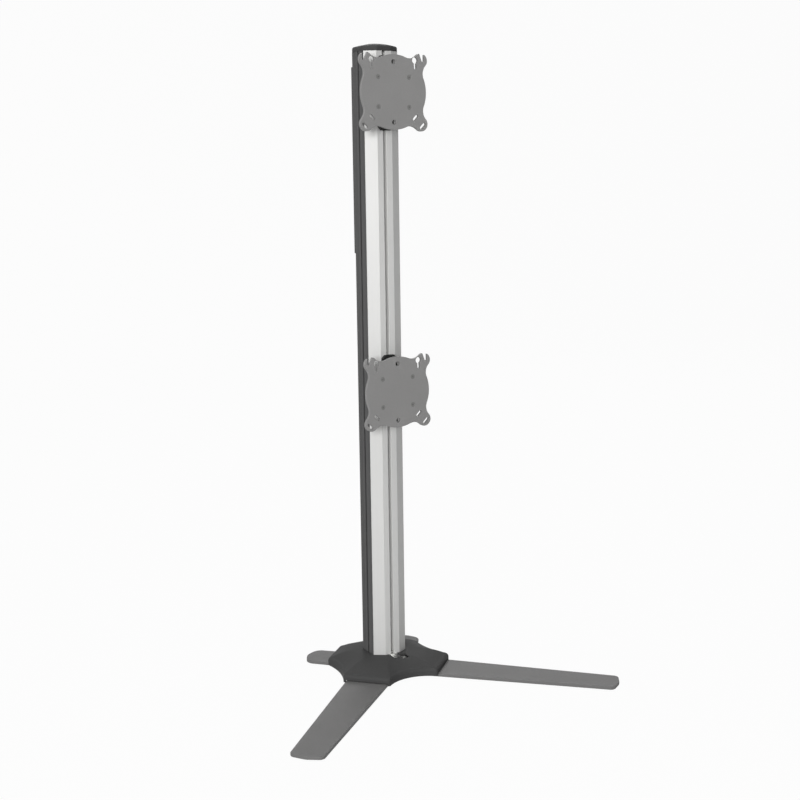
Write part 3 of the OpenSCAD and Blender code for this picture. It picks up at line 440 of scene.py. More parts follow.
# %% [markdown]
# A finish is a Principled shader fed by one of the groups. Numbers that are the same all over a
# part, such as its metallic value, are set on the shader itself. The relief goes through a Bump
# node whose normal comes from the soft edge.

# %% Helper: a finish
BUMP_DEPTH = 0.2


def placed(tree, group, **numbers):
    """A node group placed in a material, with its own values; _ in a name stands for a space."""
    node = tree.nodes.new("ShaderNodeGroup")
    node.node_tree = group
    for label, value in numbers.items():
        node.inputs[label.replace("_", " ")].default_value = value
    return node


def finish(name, group, colour, roughness, relief, edge_radius=0.5, metallic=0.0, specular=0.5,
           **numbers):
    """A material: group gives colour, roughness and relief, and soft_edge rounds the edges.

    The edge radius is in millimetres, and further numbers go to the group's own inputs.
    """
    material, tree, output = new_material(name)
    shader = tree.nodes.new("ShaderNodeBsdfPrincipled")
    shader.inputs["Metallic"].default_value = metallic
    shader.inputs["Specular IOR Level"].default_value = specular
    edge = placed(tree, soft_edge, Radius=edge_radius * MM)
    skin = placed(tree, group, Colour=colour, Roughness=roughness, **numbers)
    if "Edge" in skin.inputs:
        tree.links.new(edge.outputs["Edge"], skin.inputs["Edge"])
    bump = tree.nodes.new("ShaderNodeBump")
    bump.inputs["Strength"].default_value = relief
    bump.inputs["Distance"].default_value = BUMP_DEPTH * MM
    tree.links.new(skin.outputs["Relief"], bump.inputs["Height"])
    tree.links.new(edge.outputs["Normal"], bump.inputs["Normal"])
    tree.links.new(skin.outputs["Colour"], shader.inputs["Base Color"])
    tree.links.new(skin.outputs["Roughness"], shader.inputs["Roughness"])
    tree.links.new(bump.outputs["Normal"], shader.inputs["Normal"])
    tree.links.new(shader.outputs["BSDF"], output.inputs["Surface"])
    return material


print("a finish has a relief of", BUMP_DEPTH, "mm at most")

# %% [markdown]
# Each finish is one entry, set by comparing the render with the photograph: the group, the
# colour, the roughness, the strength of the relief, and what differs from the rest. The studio
# is white all round, and a white room makes every dark plastic light where it is seen at a low
# angle, so the dark plastics have very little specular. The column is satin, so its colour does
# more than its gloss.

# %% The finishes
EVEN = (1, 1, 1)
LOOKS = {
    "leg_steel": (powder_coat, screen_grey(110, 0.01), 0.55, 0.25,
                  dict(specular=0.25, Cloud=0.12)),
    # The plates' edges get a stronger painted highlight: their colour is lighter where light would
    # catch the rims
    "plate_steel": (powder_coat, screen_grey(137, 0.01), 0.55, 0.25,
                    dict(specular=0.3, Cloud=0.10, Edge_Lift=0.35)),
    "yoke_steel": (powder_coat, screen_grey(92), 0.55, 0.25, dict(specular=0.25)),
    "hub_steel": (powder_coat, screen_grey(66), 0.5, 0.25, dict(specular=0.25)),
    "cover_plastic": (powder_coat, screen_grey(74), 0.6, 0.2, dict(specular=0.06, Grain=1800.0)),
    "trunk_plastic": (powder_coat, screen_grey(97), 0.6, 0.12,
                      dict(edge_radius=0.3, specular=0.0, Grain=1600.0)),
    "clip_plastic": (powder_coat, screen_grey(40), 0.45, 0.15, dict(specular=0.25)),
    "pad_rubber": (powder_coat, screen_grey(36), 0.8, 0.4, dict(specular=0.3, Grain=1200.0)),
    "washer_nylon": (powder_coat, screen_grey(42), 0.4, 0.1, dict(specular=0.3)),
    "carriage_aluminium": (powder_coat, screen_grey(38), 0.5, 0.3,
                           dict(specular=0.2, Grain=1500.0)),
    "column_aluminium": (drawn_metal, (0.64, 0.64, 0.63, 1), 0.42, 0.04,
                         dict(edge_radius=0.35, metallic=0.05, specular=0.2, Lines=0.08)),
    "plate_screw_steel": (drawn_metal, (0.20, 0.20, 0.195, 1), 0.4, 0.08,
                          dict(edge_radius=0.2, metallic=0.5, specular=0.3, Stretch=EVEN)),
    "black_screw_steel": (drawn_metal, (0.02, 0.02, 0.02, 1), 0.4, 0.08,
                          dict(edge_radius=0.25, metallic=0.3, specular=0.2, Stretch=EVEN)),
    "bright_steel": (drawn_metal, (0.75, 0.75, 0.73, 1), 0.3, 0.08,
                     dict(edge_radius=0.25, metallic=0.8, Stretch=EVEN)),
    "screw_steel": (drawn_metal, (0.55, 0.55, 0.53, 1), 0.36, 0.08,
                    dict(edge_radius=0.25, metallic=0.8, Stretch=EVEN)),
}
FINISHES = {name: finish(name, *look, **more) for name, (*look, more) in LOOKS.items()}
slot_of = {part["node"]: part["material_slot"] for part in frame["record"]["subparts"]}
for node, part in frame["nodes"].items():
    part.data.materials.clear()
    part.data.materials.append(FINISHES[slot_of[node]])
print("finishes:", len(FINISHES))

# %% [markdown]
# A flat bar with softened edges is a profile carried along a closed outline. The outline is
# worked out from round discs: for every direction, the disc that reaches furthest that way gives
# the point, which is exactly the band that would lie tight round them all. The same walk gives
# each point's outward direction, and the profile moves the points in and up.


# %% Helper: outlines and walls
def band_round(discs, count):
    """Points and outward directions of a tight band round (x, y, radius) discs.

    At each angle it takes the disc with the largest centre . direction + radius.
    """
    angle = np.linspace(0, 2 * np.pi, count, endpoint=False)
    out = np.stack([np.cos(angle), np.sin(angle)], -1)
    centre = np.array([disc[:2] for disc in discs], float)
    radius = np.array([disc[2] for disc in discs], float)
    best = np.argmax(out @ centre.T + radius, axis=1)
    return centre[best] + radius[best, None] * out, out


def ring(x, y, radius, count=48):
    """A round hole: walked the other way round, and its outward side looks at its middle."""
    angle = -np.linspace(0, 2 * np.pi, count, endpoint=False)
    out = np.stack([np.cos(angle), np.sin(angle)], -1)
    return np.array([x, y]) + radius * out, -out


def wall(path, profile):
    """The skin of a profile carried along a path of points and outward directions.

    Each (inset, height) pair gives a row: the points - direction * inset, at that height.
    """
    points, out = path
    profile = np.asarray(profile, float)
    flat = points[None, :, :] - out[None, :, :] * profile[:, None, 0:1]
    height = np.broadcast_to(profile[:, None, 1:2], flat.shape[:2] + (1,))
    return np.concatenate([flat, height], -1)


def round_edge(low, high, radius, steps=5):
    """A wall's profile with quarter-round edges.

    Insets are radius * (1 - cos a), and heights are radius * (1 - sin a) from each end.
    """
    a = np.linspace(0, np.pi / 2, steps + 1)
    lower = np.stack([radius * (1 - np.sin(a)), low + radius * (1 - np.cos(a))], -1)
    upper = np.stack([radius * (1 - np.cos(a)), high - radius * (1 - np.sin(a))], -1)
    return np.concatenate([lower, upper])


print("a round edge has", len(round_edge(0, 5, 1)), "rows")

# %% [markdown]
# A wall becomes a solid with a lid at each end. A lid may have holes, and its outline may be
# hollow, so its triangles come from Blender's own polygon filler, and each one is turned to face
# the right way by the sign of its area.

# %% Helper: lids and slabs
NO_AREA = 1e-9


def lid(loops, facing):
    """Triangles between an outer loop and its holes, all turned to face up (1) or down (-1)."""
    flat = np.concatenate([loop[:, :2] for loop in loops])
    tris = np.array(tessellate_polygon([[Vector(p) for p in loop] for loop in loops]))
    a, b, c = flat[tris[:, 0]], flat[tris[:, 1]], flat[tris[:, 2]]
    area = ((b[:, 0] - a[:, 0]) * (c[:, 1] - a[:, 1])
            - (b[:, 1] - a[:, 1]) * (c[:, 0] - a[:, 0]))
    turned = np.where((area * facing < 0)[:, None], tris[:, ::-1], tris)
    return turned[np.abs(area) > NO_AREA]


def slab(name, outline, outline_profile, holes=()):
    """A flat piece: a wall round the outline, a wall in each (path, profile) hole, two lids."""
    skins = [wall(outline, outline_profile)] + [wall(*hole) for hole in holes]
    start = np.cumsum([0] + [skin.shape[0] * skin.shape[1] for skin in skins])
    faces = [quad for skin, n in zip(skins, start)
             for quad in (grid_faces(*skin.shape[:2]) + n).tolist()]
    for row, facing in ((0, -1), (-1, 1)):
        index = np.concatenate([
            n + (skin.shape[0] - 1 if row else 0) * skin.shape[1] + np.arange(skin.shape[1])
            for skin, n in zip(skins, start)])
        faces += index[lid([skin[row] for skin in skins], facing)].tolist()
    return mesh_piece(name, np.concatenate([skin.reshape(-1, 3) for skin in skins]), faces)


def finish_piece(piece, slot, body, *nodes, sharp=40):
    """Gives a new piece its finish, smooth shading and body, and lets it stand for CAD nodes.

    Edges that turn by more than sharp degrees stay crisp.
    """
    piece.data.materials.append(FINISHES[slot])
    piece.data.shade_smooth()
    piece.data.set_sharp_from_angle(angle=math.radians(sharp))
    even = piece.modifiers.new("even_shading", "WEIGHTED_NORMAL")
    even.keep_sharp = True
    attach(piece, body)
    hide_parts(*nodes)
    print(piece.name, len(piece.data.polygons), "faces")


# %% [markdown]
# Each leg is a 5 mm steel bar that narrows to its tip. The tip is two round corners with a
# slight bow between them, so its discs are two corners, one large disc for the bow, and two
# small ones at the root. Countersunk holes for the screws open in the underside.

# %% The legs
AXIS_Y = (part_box("column")[0][1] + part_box("column")[1][1]) / 2 / MM
PAD_T, LEG_T, LEG_START, EDGE_R = 2.0, 5.0, 36.75, 1.1
LEG_TOP = PAD_T + LEG_T
ROOT_CORNER, TIP_BOW, BOW_CLEAR, LEG_STEPS = 1.5, 3.0, 0.5, 288
SINK_R, SINK_H, SHANK_R = 6.3, 3.4, 3.3
FRONT_LEG = {"length": 387.9, "root": 74.5, "tip": 52.0, "corner": 9.0, "screws": (52.75, 84.6)}
REAR_LEG = {"length": 134.8, "root": 59.0, "tip": 54.0, "corner": 16.0, "screws": (49.75, 72.1)}
LEG_ANGLE = 45


def bar_half(bar, along):
    """Half the width of a leg: (root + (tip - root) * along / length) / 2."""
    return (bar["root"] + (bar["tip"] - bar["root"]) * along / bar["length"]) / 2


def turned(path, angle):
    """A path turned about the origin and moved to the column's axis."""
    turn = np.array([[math.cos(angle), math.sin(angle)], [-math.sin(angle), math.cos(angle)]])
    return path[0] @ turn + [0, AXIS_Y], path[1] @ turn


def leg(node, bar, degrees):
    """A tapered bar along +X, with rounded edges and countersunk holes, turned to its place."""
    tip_disc = bar["tip"] / 2 - BOW_CLEAR
    corner_x = bar["length"] - TIP_BOW - bar["corner"]
    corner_y = bar["tip"] / 2 - bar["corner"]
    root_x, root_y = LEG_START + ROOT_CORNER, bar_half(bar, LEG_START) - ROOT_CORNER
    discs = [(root_x, -root_y, ROOT_CORNER), (corner_x, -corner_y, bar["corner"]),
             (bar["length"] - tip_disc, 0, tip_disc), (corner_x, corner_y, bar["corner"]),
             (root_x, root_y, ROOT_CORNER)]
    angle = math.radians(degrees)
    sink = [(SHANK_R - SINK_R, PAD_T), (0, PAD_T + SINK_H), (0, LEG_TOP)]
    holes = [(turned(ring(x, 0, SHANK_R), angle), sink) for x in bar["screws"]]
    piece = slab("soft_" + node, turned(band_round(discs, LEG_STEPS), angle),
                 round_edge(PAD_T, LEG_TOP, EDGE_R), holes)
    finish_piece(piece, "leg_steel", "stand", node)


leg("front_left_leg", FRONT_LEG, 180 + LEG_ANGLE)
leg("front_right_leg", FRONT_LEG, -LEG_ANGLE)
leg("rear_left_leg", REAR_LEG, 180 - LEG_ANGLE)
leg("rear_right_leg", REAR_LEG, LEG_ANGLE)

# %% [markdown]
# The hub cover is one moulding that runs from the column's collar out over the four legs, as four
# lobes. A lobe is a little wider than the leg under it, and it has a straight end and two round
# corners. The lobes over the front legs are longer, and their corners are tighter.

# %% The hub cover's lobes
FRONT_LOBE = {"length": 101.0, "corner": 4.5, "margin": 5.2, "bar": FRONT_LEG}
REAR_LOBE = {"length": 88.5, "corner": 9.0, "margin": 8.0, "bar": REAR_LEG}
FRONT_HOLLOW, SIDE_HOLLOW, REAR_HOLLOW = 63.0, 130.0, 400.0
for lobe in (FRONT_LOBE, REAR_LOBE):
    lobe["half"] = lobe["margin"] + bar_half(lobe["bar"], lobe["length"])
LOBES = [(math.radians(turn), lobe, hollow) for turn, lobe, hollow in (
    (LEG_ANGLE, REAR_LOBE, REAR_HOLLOW), (180 - LEG_ANGLE, REAR_LOBE, SIDE_HOLLOW),
    (180 + LEG_ANGLE, FRONT_LOBE, FRONT_HOLLOW), (360 - LEG_ANGLE, FRONT_LOBE, SIDE_HOLLOW))]


def corner_centre(turn, lobe, side):
    """Centre of a lobe's corner circle, on its left (1) or right (-1) side."""
    x, y = lobe["length"] - lobe["corner"], side * (lobe["half"] - lobe["corner"])
    return np.array([x * math.cos(turn) - y * math.sin(turn),
                     x * math.sin(turn) + y * math.cos(turn)])


print("lobes: half widths", [round(lobe["half"], 1) for _, lobe, _ in LOBES], "mm")

# %% [markdown]
# Seen from above, the rim is a chain of arcs: from one lobe to the next runs a wide hollow arc
# that touches the corners of both. Such an arc has its centre at hollow radius + corner radius
# from both corner centres, so two circles round these meet there. The walk goes once round.

# %% The hub cover's rim
CORNER_STEPS, HOLLOW_STEPS, END_STEPS = 12, 48, 14


def arc(centre, radius, start, end, count):
    """Points on a circle from one direction to another, the short way round."""
    sweep_angle = (end - start + np.pi) % (2 * np.pi) - np.pi
    angle = start + sweep_angle * np.linspace(0, 1, count)
    return centre + radius * np.stack([np.cos(angle), np.sin(angle)], -1)


def hub_rim():
    """The whole rim, anticlockwise: a lobe's corner, the hollow, the next lobe's corner and end.

    The hollow's centre lies where the circles of radius hollow + corner round both corner
    centres meet: along = (reach squared - next reach squared + apart squared) / (2 * apart).
    """
    path = []
    for (turn, lobe, hollow), (next_turn, next_lobe, _) in zip(LOBES, LOBES[1:] + LOBES[:1]):
        near, far = corner_centre(turn, lobe, 1), corner_centre(next_turn, next_lobe, -1)
        reach, next_reach = hollow + lobe["corner"], hollow + next_lobe["corner"]
        apart = math.dist(near, far)
        unit = (far - near) / apart
        along = (reach ** 2 - next_reach ** 2 + apart ** 2) / (2 * apart)
        centre = near + along * unit + (math.sqrt(reach ** 2 - along ** 2)
                                        * np.array([unit[1], -unit[0]]))
        out = math.atan2(*(centre - near)[::-1])
        back_in = math.atan2(*(centre - far)[::-1])
        path += [arc(near, lobe["corner"], turn, out, CORNER_STEPS),
                 arc(centre, hollow, out + np.pi, back_in + np.pi, HOLLOW_STEPS)[1:-1],
                 arc(far, next_lobe["corner"], back_in, next_turn, CORNER_STEPS)]
        end_start = path[-1][-1]
        end_stop = (corner_centre(next_turn, next_lobe, 1)
                    + next_lobe["corner"] * np.array([math.cos(next_turn), math.sin(next_turn)]))
        path.append(end_start + np.linspace(0, 1, END_STEPS)[1:-1, None] * (end_stop - end_start))
    return np.concatenate(path)


rim = hub_rim()
print("rim:", len(rim), "points, reach", round(np.hypot(*rim.T).max(), 1),
      "mm, waist", round(np.hypot(*rim.T).min(), 1), "mm")

# %% [markdown]
# Seen from the side the cover is an upright rim, a rounded edge, and a roof that rises fast and
# then flattens towards the collar. It meets the column's eight sides with a small gap, so the
# grid has a column of points in the direction of each of the column's corners, too. The foot of
# the rim is higher over the legs, where the cover rests just above the steel.

# %% The hub cover's directions and heights
HUB = {"wall": 2.4, "rim_z": 11.5, "edge": 6.0, "collar_z": 30.0, "skirt_z": 4.5, "lift_z": 8.4,
       "slope": 2.2, "gap": 0.8, "round_collar": 33.5, "leg_gap": 1.2, "thin_edge": 0.8,
       "lip": 0.5, "lip_drop": 0.05, "inside_up": 0.5, "turn_power": 5}
COLUMN_W, COLUMN_D, FRONT_FLAT, SIDE_FLAT = 29.4, 29.2, 12.8, 18.6
NEARLY_ZERO = 1e-3


def column_radius(angle, grow=0.0):
    """Distance of the column's outline: the nearest of its front, side and slanted planes."""
    c, s = np.abs(np.cos(angle)), np.abs(np.sin(angle))
    nx, ny = COLUMN_D - SIDE_FLAT, COLUMN_W - FRONT_FLAT
    slant = (nx * COLUMN_W + ny * SIDE_FLAT) / (nx * c + ny * s)
    side = COLUMN_W / np.maximum(c, NEARLY_ZERO)
    front = COLUMN_D / np.maximum(s, NEARLY_ZERO)
    return np.minimum(np.minimum(side, front), slant) + grow


def hub_directions():
    """The grid's directions, and the rim's distance in each, read between the rim's points."""
    around = np.mod(np.arctan2(rim[:, 1], rim[:, 0]), 2 * np.pi)
    order = np.argsort(around)
    eight = np.array([math.atan2(SIDE_FLAT, COLUMN_W), math.atan2(COLUMN_D, FRONT_FLAT)])
    eight = np.concatenate([eight, np.pi - eight, np.pi + eight, 2 * np.pi - eight])
    every = np.unique(np.round(np.concatenate([around[order], eight]), 4))
    return every, np.interp(every, around[order], np.hypot(*rim[order].T), period=2 * np.pi)


def skirt_height(angle, reach):
    """Height of the rim's foot: lift_z within half a leg's width + leg_gap of its middle line."""
    over_leg = np.zeros(len(angle), bool)
    for turn, lobe, _ in LOBES:
        along, aside = reach * np.cos(angle - turn), np.abs(reach * np.sin(angle - turn))
        over_leg |= (along > 0) & (aside < bar_half(lobe["bar"], along) + HUB["leg_gap"])
    return np.where(over_leg, HUB["lift_z"], HUB["skirt_z"])


def roof_height(t):
    """Height of the roof at a share t of the way in: it rises by 1 - (1 - t) to the power slope."""
    edge_z = HUB["rim_z"] + HUB["edge"]
    return edge_z + (HUB["collar_z"] - edge_z) * (1 - (1 - t) ** HUB["slope"])


every, reach = hub_directions()
print("hub cover:", len(every), "directions")

# %% [markdown]
# The roof has to come from the lively rim to the column's eight sides without a crease. Each
# step of the roof is the rim drawn in by a share of the way, and the inner end of that way is a
# plain circle for most of the roof. Only in the last steps does the circle turn into the eight
# sides, by a share that is the fifth power of the way. The same steps a wall's thickness down
# are the inside, so the rows run up the outside, over the collar's lip and back down.

# %% The hub cover's skin
EDGE_ROWS, ROOF_ROWS, INSIDE_ROWS = 9, 23, 12


def hub_cover_points():
    """The cover's grid: each row is a distance and a height in every direction.

    The edge's rows are rim - edge * (1 - cos a) at rim_z + edge * sin a, and a roof row at a
    share t lies at outer + (inner - outer) * t.
    """
    skirt = skirt_height(every, reach)
    eight_sided = column_radius(every, HUB["gap"])
    start = reach - HUB["edge"]

    def row(radius, height):
        return radius + 0 * reach, height + 0 * reach

    def inward(outer, t):
        round_to_eight = (eight_sided - HUB["round_collar"]) * t ** HUB["turn_power"]
        inner = HUB["round_collar"] + round_to_eight
        return outer + (inner - outer) * t

    rows = [row(reach, skirt)]
    for a in np.linspace(0, np.pi / 2, EDGE_ROWS):
        rows.append(row(reach - HUB["edge"] * (1 - math.cos(a)),
                        HUB["rim_z"] + HUB["edge"] * math.sin(a)))
    for t in np.linspace(0, 1, ROOF_ROWS)[1:-1]:
        rows.append(row(inward(start, t), roof_height(t)))
    rows.append(row(eight_sided + HUB["lip"], HUB["collar_z"] - HUB["lip_drop"]))
    rows.append(row(eight_sided, HUB["collar_z"] - HUB["lip"]))
    for t in np.linspace(1, 0, INSIDE_ROWS):
        rows.append(row(inward(start - HUB["thin_edge"], t), roof_height(t) - HUB["wall"]))
    rows.append(row(reach - HUB["wall"], HUB["rim_z"] + HUB["inside_up"]))
    rows.append(row(reach - HUB["wall"], skirt))
    radius, height = np.array([r[0] for r in rows]), np.array([r[1] for r in rows])
    return np.stack([radius * np.cos(every), radius * np.sin(every) + AXIS_Y, height], -1)


cover_grid = hub_cover_points()
print("hub cover: grid of", cover_grid.shape[0], "by", cover_grid.shape[1], "points")

# %% [markdown]
# Two more helpers finish the cover. A round boss is a profile turned about its own axis. An
# opening is cut by a Boolean modifier, whose result replaces the mesh, so nothing is left live.


# %% Helper: turn and cut
def lathe(profile, x, y, count):
    """Points and faces of (radius, height) pairs turned round an upright axis at x, y.

    A point lies at x + radius * cos a, y + radius * sin a.
    """
    angle = np.linspace(0, 2 * np.pi, count, endpoint=False)
    r, z = np.array(profile, float).T[:, :, None]
    points = np.stack([x + r * np.cos(angle), y + r * np.sin(angle), z + 0 * angle], -1)
    return points.reshape(-1, 3), grid_faces(len(profile), count)


def cut_away(piece, cutter):
    """Takes the cutter's shape out of a piece for good."""
    cut = piece.modifiers.new("cut", "BOOLEAN")
    cut.operation, cut.solver, cut.object = "DIFFERENCE", "EXACT", cutter
    graph = bpy.context.evaluated_depsgraph_get()
    made = bpy.data.meshes.new_from_object(piece.evaluated_get(graph))
    piece.modifiers.clear()
    piece.data = made
    bpy.data.objects.remove(cutter)


print("a profile of 6 points turned in 32 steps makes", len(lathe([(1, 0)] * 6, 0, 0, 32)[1]),
      "faces")

# %% [markdown]
# Three bosses under the roof take the screws from below. The profile of each runs from the end
# of the blind hole down its wall, across the boss's foot, up the outside and in at the top. Right
# in front of the column the cover is open over the bracket that holds the column's foot. These
# two openings are cut with small round-cornered slabs.

# %% The hub cover
BOSS_AT, BOSS_R, BOSS_HOLE_R, BOSS_POLE_R, BOSS_STEPS = 55.0, 3.6, 2.05, 0.01, 32
BOSS_LOW, BOSS_HIGH, BOSS_DEEP = 12.3, 25.0, 19.0
POCKETS = ((-7.0, 7.0, -18.0, 2.0), (6.0, 18.5, -24.0, -8.5))
POCKET_CORNER, POCKET_FLOOR, POCKET_TOP, POCKET_STEPS = 2.0, 15.0, 40, 64

points, faces = [cover_grid.reshape(-1, 3)], [loop_faces(*cover_grid.shape[:2])]
boss = [(BOSS_POLE_R, BOSS_DEEP), (BOSS_HOLE_R, BOSS_DEEP), (BOSS_HOLE_R, BOSS_LOW),
        (BOSS_R, BOSS_LOW), (BOSS_R, BOSS_HIGH), (BOSS_POLE_R, BOSS_HIGH)]
for x, y in ((BOSS_AT, 0), (0, BOSS_AT), (-BOSS_AT, 0)):
    boss_points, boss_faces = lathe(boss, x, AXIS_Y + y, BOSS_STEPS)
    faces.append(boss_faces + sum(map(len, points)))
    points.append(boss_points)
hub_cover = mesh_piece("soft_hub_cover", np.concatenate(points), np.concatenate(faces).tolist())
face_y = AXIS_Y - COLUMN_D
for left, right_end, front, rear in POCKETS:
    discs = [(x, face_y + y, POCKET_CORNER)
             for x in (left + POCKET_CORNER, right_end - POCKET_CORNER)
             for y in (front + POCKET_CORNER, rear - POCKET_CORNER)]
    cut_away(hub_cover, slab("pocket_cutter", band_round(discs, POCKET_STEPS),
                             [(0, POCKET_FLOOR), (0, POCKET_TOP)]))
finish_piece(hub_cover, "cover_plastic", "stand", "hub_cover", sharp=50)

# %% [markdown]
# The top cap is a low dome on the column's eight-sided plan, with moulded, rounded edges. Its
# plan is a band round eight small discs. Above the rim every row is the plan drawn in towards
# the middle, at the height of a large ball, and the rows end in one point on the axis.

# %% The top cap's dome
COLUMN_TOP, CAP_H, CAP_BALL, CAP_OVER, CAP_CORNER, CAP_EDGE = 991.0, 12.3, 115.0, 0.3, 6.0, 3.2
CAP_FLAT_OVER, CAP_PULL, CAP_LIP, CAP_TURN = 0.3, 1.06, 0.4, np.radians(70)
CAP_AROUND, CAP_EDGE_ROWS, CAP_DOME_ROWS = 256, 7, 14


def dome_height(distance):
    """Height of the ball over a distance from the axis.

    It is the ball's centre + the root of (ball squared - distance squared).
    """
    return COLUMN_TOP + CAP_H - CAP_BALL + np.sqrt(CAP_BALL ** 2 - distance ** 2)


def cap_grid():
    """Rows of the cap: a small slant under the rim, the rim, a rounded edge, the dome closing in.

    The edge's rows are the plan moved in by edge * (1 - cos a), at top - edge * (1 - sin a).
    """
    w, d = COLUMN_W + CAP_OVER, COLUMN_D + CAP_OVER
    f, s = FRONT_FLAT + CAP_OVER * CAP_FLAT_OVER, SIDE_FLAT + CAP_OVER * CAP_FLAT_OVER
    corners = [(sx * x, sy * y) for x, y in ((w, s), (f, d)) for sx in (-1, 1) for sy in (-1, 1)]
    pull = 1 - CAP_CORNER * CAP_PULL / np.hypot(*np.array(corners).T)
    discs = [(x * p, y * p, CAP_CORNER) for (x, y), p in zip(corners, pull)]
    plan, out = band_round(discs, CAP_AROUND)
    top = dome_height(np.hypot(*plan.T) - CAP_EDGE)
    rows = [np.c_[plan - out * CAP_LIP, np.full(len(plan), COLUMN_TOP)],
            np.c_[plan, np.full(len(plan), COLUMN_TOP + CAP_LIP)]]
    for a in np.linspace(0, CAP_TURN, CAP_EDGE_ROWS):
        rows.append(np.c_[plan - out * CAP_EDGE * (1 - math.cos(a)),
                          top - CAP_EDGE * (1 - math.sin(a))])
    inner = rows[-1][:, :2]
    for t in np.linspace(1, 0, CAP_DOME_ROWS)[1:-1]:
        rows.append(np.c_[inner * t, dome_height(np.hypot(*(inner * t).T))])
    return np.array(rows)


dome = cap_grid()
print("top cap: rim", round(np.ptp(dome[1, :, 0]), 1), "by", round(np.ptp(dome[1, :, 1]), 1), "mm")

# %% [markdown]
# A square plug under the dome holds the cap in the column. It is an open tube: a profile up its
# outside, in, and down its inside, carried round four corners and joined back to its start. The
# dome is closed by a fan of triangles at its pole and by one flat face underneath.

# %% The top cap
PLUG_DEPTH, PLUG_WALL, PLUG_HALF_W, PLUG_HALF_D, PLUG_UP = 14.0, 2.0, 13.25, 13.65, 0.3
layers, columns = dome.shape[:2]
points = np.concatenate([dome.reshape(-1, 3), [[0, 0, COLUMN_TOP + CAP_H]]])
pole = layers * columns
last_row = np.arange(columns) + (layers - 1) * columns
fan = np.stack([last_row, np.roll(last_row, -1), np.full(columns, pole)], -1)
corner_out = np.array([(1, -1), (1, 1), (-1, 1), (-1, -1)], float)
plug_low, plug_high = COLUMN_TOP - PLUG_DEPTH, COLUMN_TOP + PLUG_UP
plug = wall((corner_out * [PLUG_HALF_W, PLUG_HALF_D], corner_out),
            [(0, plug_low), (0, plug_high), (PLUG_WALL, plug_high), (PLUG_WALL, plug_low)])
faces = (grid_faces(layers, columns).tolist() + fan.tolist() + [np.arange(columns)[::-1].tolist()]
         + (loop_faces(*plug.shape[:2]) + len(points)).tolist())
points = np.concatenate([points, plug.reshape(-1, 3)]) + [0, AXIS_Y, 0]
finish_piece(mesh_piece("soft_top_cap", points, faces), "cover_plastic", "stand", "top_cap",
             sharp=50)

# %% [markdown]
# Behind the top of the column sits a snap-on cover for the cables: a shallow trough with two
# round corners, open towards the metal. Its section is one closed outline that runs up the
# outside and back down the inside, and every corner point is moved out or in along the mean of
# the directions of its two edges.

# %% The rear cable cover
REAR = {"half": 19.3, "deep": 17.1, "corner": 5.0, "wall": 1.8, "gap": 0.45, "soft": 0.5}
REAR_LOW, REAR_HIGH = (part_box("rear_cable_cover")[i][2] / MM for i in (0, 1))
REAR_BEND_STEPS, REAR_EDGE_STEPS = 9, 3


def column_back(x):
    """Depth of the column's slanted rear side at x, plus the gap.

    It falls in a straight line from COLUMN_D at FRONT_FLAT to SIDE_FLAT at COLUMN_W.
    """
    return (COLUMN_D - (x - FRONT_FLAT) * (COLUMN_D - SIDE_FLAT) / (COLUMN_W - FRONT_FLAT)
            + REAR["gap"])


def trough_side(inset):
    """Half of the trough's outline at an inset: up the right wall and round its corner."""
    half, r = REAR["half"] - inset, REAR["corner"] - inset
    back = COLUMN_D + REAR["deep"] - inset
    turn = np.linspace(0, np.pi / 2, REAR_BEND_STEPS)
    bend = np.stack([half - r + r * np.cos(turn), back - r + r * np.sin(turn)], -1)
    return np.concatenate([[[half, column_back(half)]], bend])


def outward(points):
    """Each point's outward direction: the mean of the right-hand directions of its two edges."""
    edge = np.roll(points, -1, 0) - points
    side = np.stack([edge[:, 1], -edge[:, 0]], -1) / np.hypot(*edge.T)[:, None]
    mean = side + np.roll(side, 1, 0)
    return mean / np.hypot(*mean.T)[:, None]


outer, inner = trough_side(0), trough_side(REAR["wall"])
trough = np.concatenate([outer, outer[::-1] * [-1, 1], inner * [-1, 1], inner[::-1]])
section = (trough + [0, AXIS_Y], outward(trough))
rear_cover = slab("soft_rear_cover", section,
                  round_edge(REAR_LOW, REAR_HIGH, REAR["soft"], REAR_EDGE_STEPS))
finish_piece(rear_cover, slot_of["rear_cable_cover"], "stand", "rear_cable_cover")

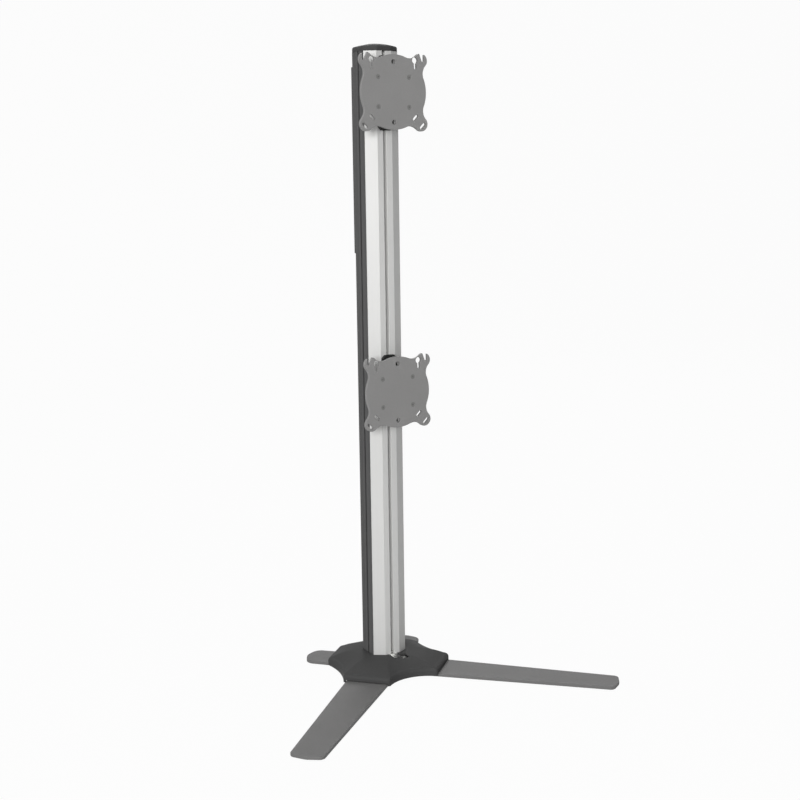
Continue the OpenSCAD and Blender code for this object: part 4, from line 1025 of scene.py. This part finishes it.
# %% [markdown]
# A cable channel runs down each side of the column, closed by a moulded insert with a slit for
# the cable. In the photograph the insert's dark face reaches right to the corners of the column,
# so its lips carry on as thin flanges over the metal, and a raised bead lines the slit. The
# section is one closed path: round the inside of the channel, out through the slit, along the
# face, and home along the back. Its lower half is the upper half mirrored, and the left insert
# is the right one turned by half a turn.

# %% The cable channel inserts
FLANGE_OUT, FLANGE_IN, FLANGE_END, STEP_IN, STEP_END = 29.75, 29.45, 18.5, 27.35, 17.05
BEAD_OUT, FACE_OUT, SLIT_HALF, BEAD_END = 30.1, 29.5, 2.9, 9.2
CAVITY_BACK, CAVITY_FRONT, CAVITY_HALF, INSERT_BACK, INSERT_HALF = 17.75, 27.5, 12.65, 16.15, 14.25
# The bead's and the flange's soft corners are points a few tenths from their named edges
upper_half = np.array([
    (CAVITY_BACK, CAVITY_HALF), (CAVITY_FRONT, CAVITY_HALF), (CAVITY_FRONT, SLIT_HALF),
    (BEAD_OUT - 0.8, SLIT_HALF), (BEAD_OUT - 0.2, SLIT_HALF + 0.3), (BEAD_OUT, SLIT_HALF + 1.1),
    (BEAD_OUT, BEAD_END - 1.7), (BEAD_OUT - 0.2, BEAD_END - 0.6), (FACE_OUT, BEAD_END),
    (FACE_OUT, FLANGE_END - 1.9), (FLANGE_OUT, FLANGE_END - 1.3), (FLANGE_OUT, FLANGE_END - 0.3),
    (FLANGE_OUT - 0.15, FLANGE_END), (FLANGE_IN, FLANGE_END), (FLANGE_IN, STEP_END),
    (STEP_IN, STEP_END), (STEP_IN, INSERT_HALF), (INSERT_BACK, INSERT_HALF)])
insert_path = np.concatenate([upper_half, upper_half[::-1] * [1, -1]])
for node, turn in (("right_channel_insert", 1), ("left_channel_insert", -1)):
    low_end, high_end = (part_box(node)[i][2] / MM for i in (0, 1))
    path = (insert_path * turn + [0, AXIS_Y], outward(insert_path * turn))
    insert = slab("soft_" + node, path, [(0, low_end), (0, high_end)])
    finish_piece(insert, "trunk_plastic", "stand", node)
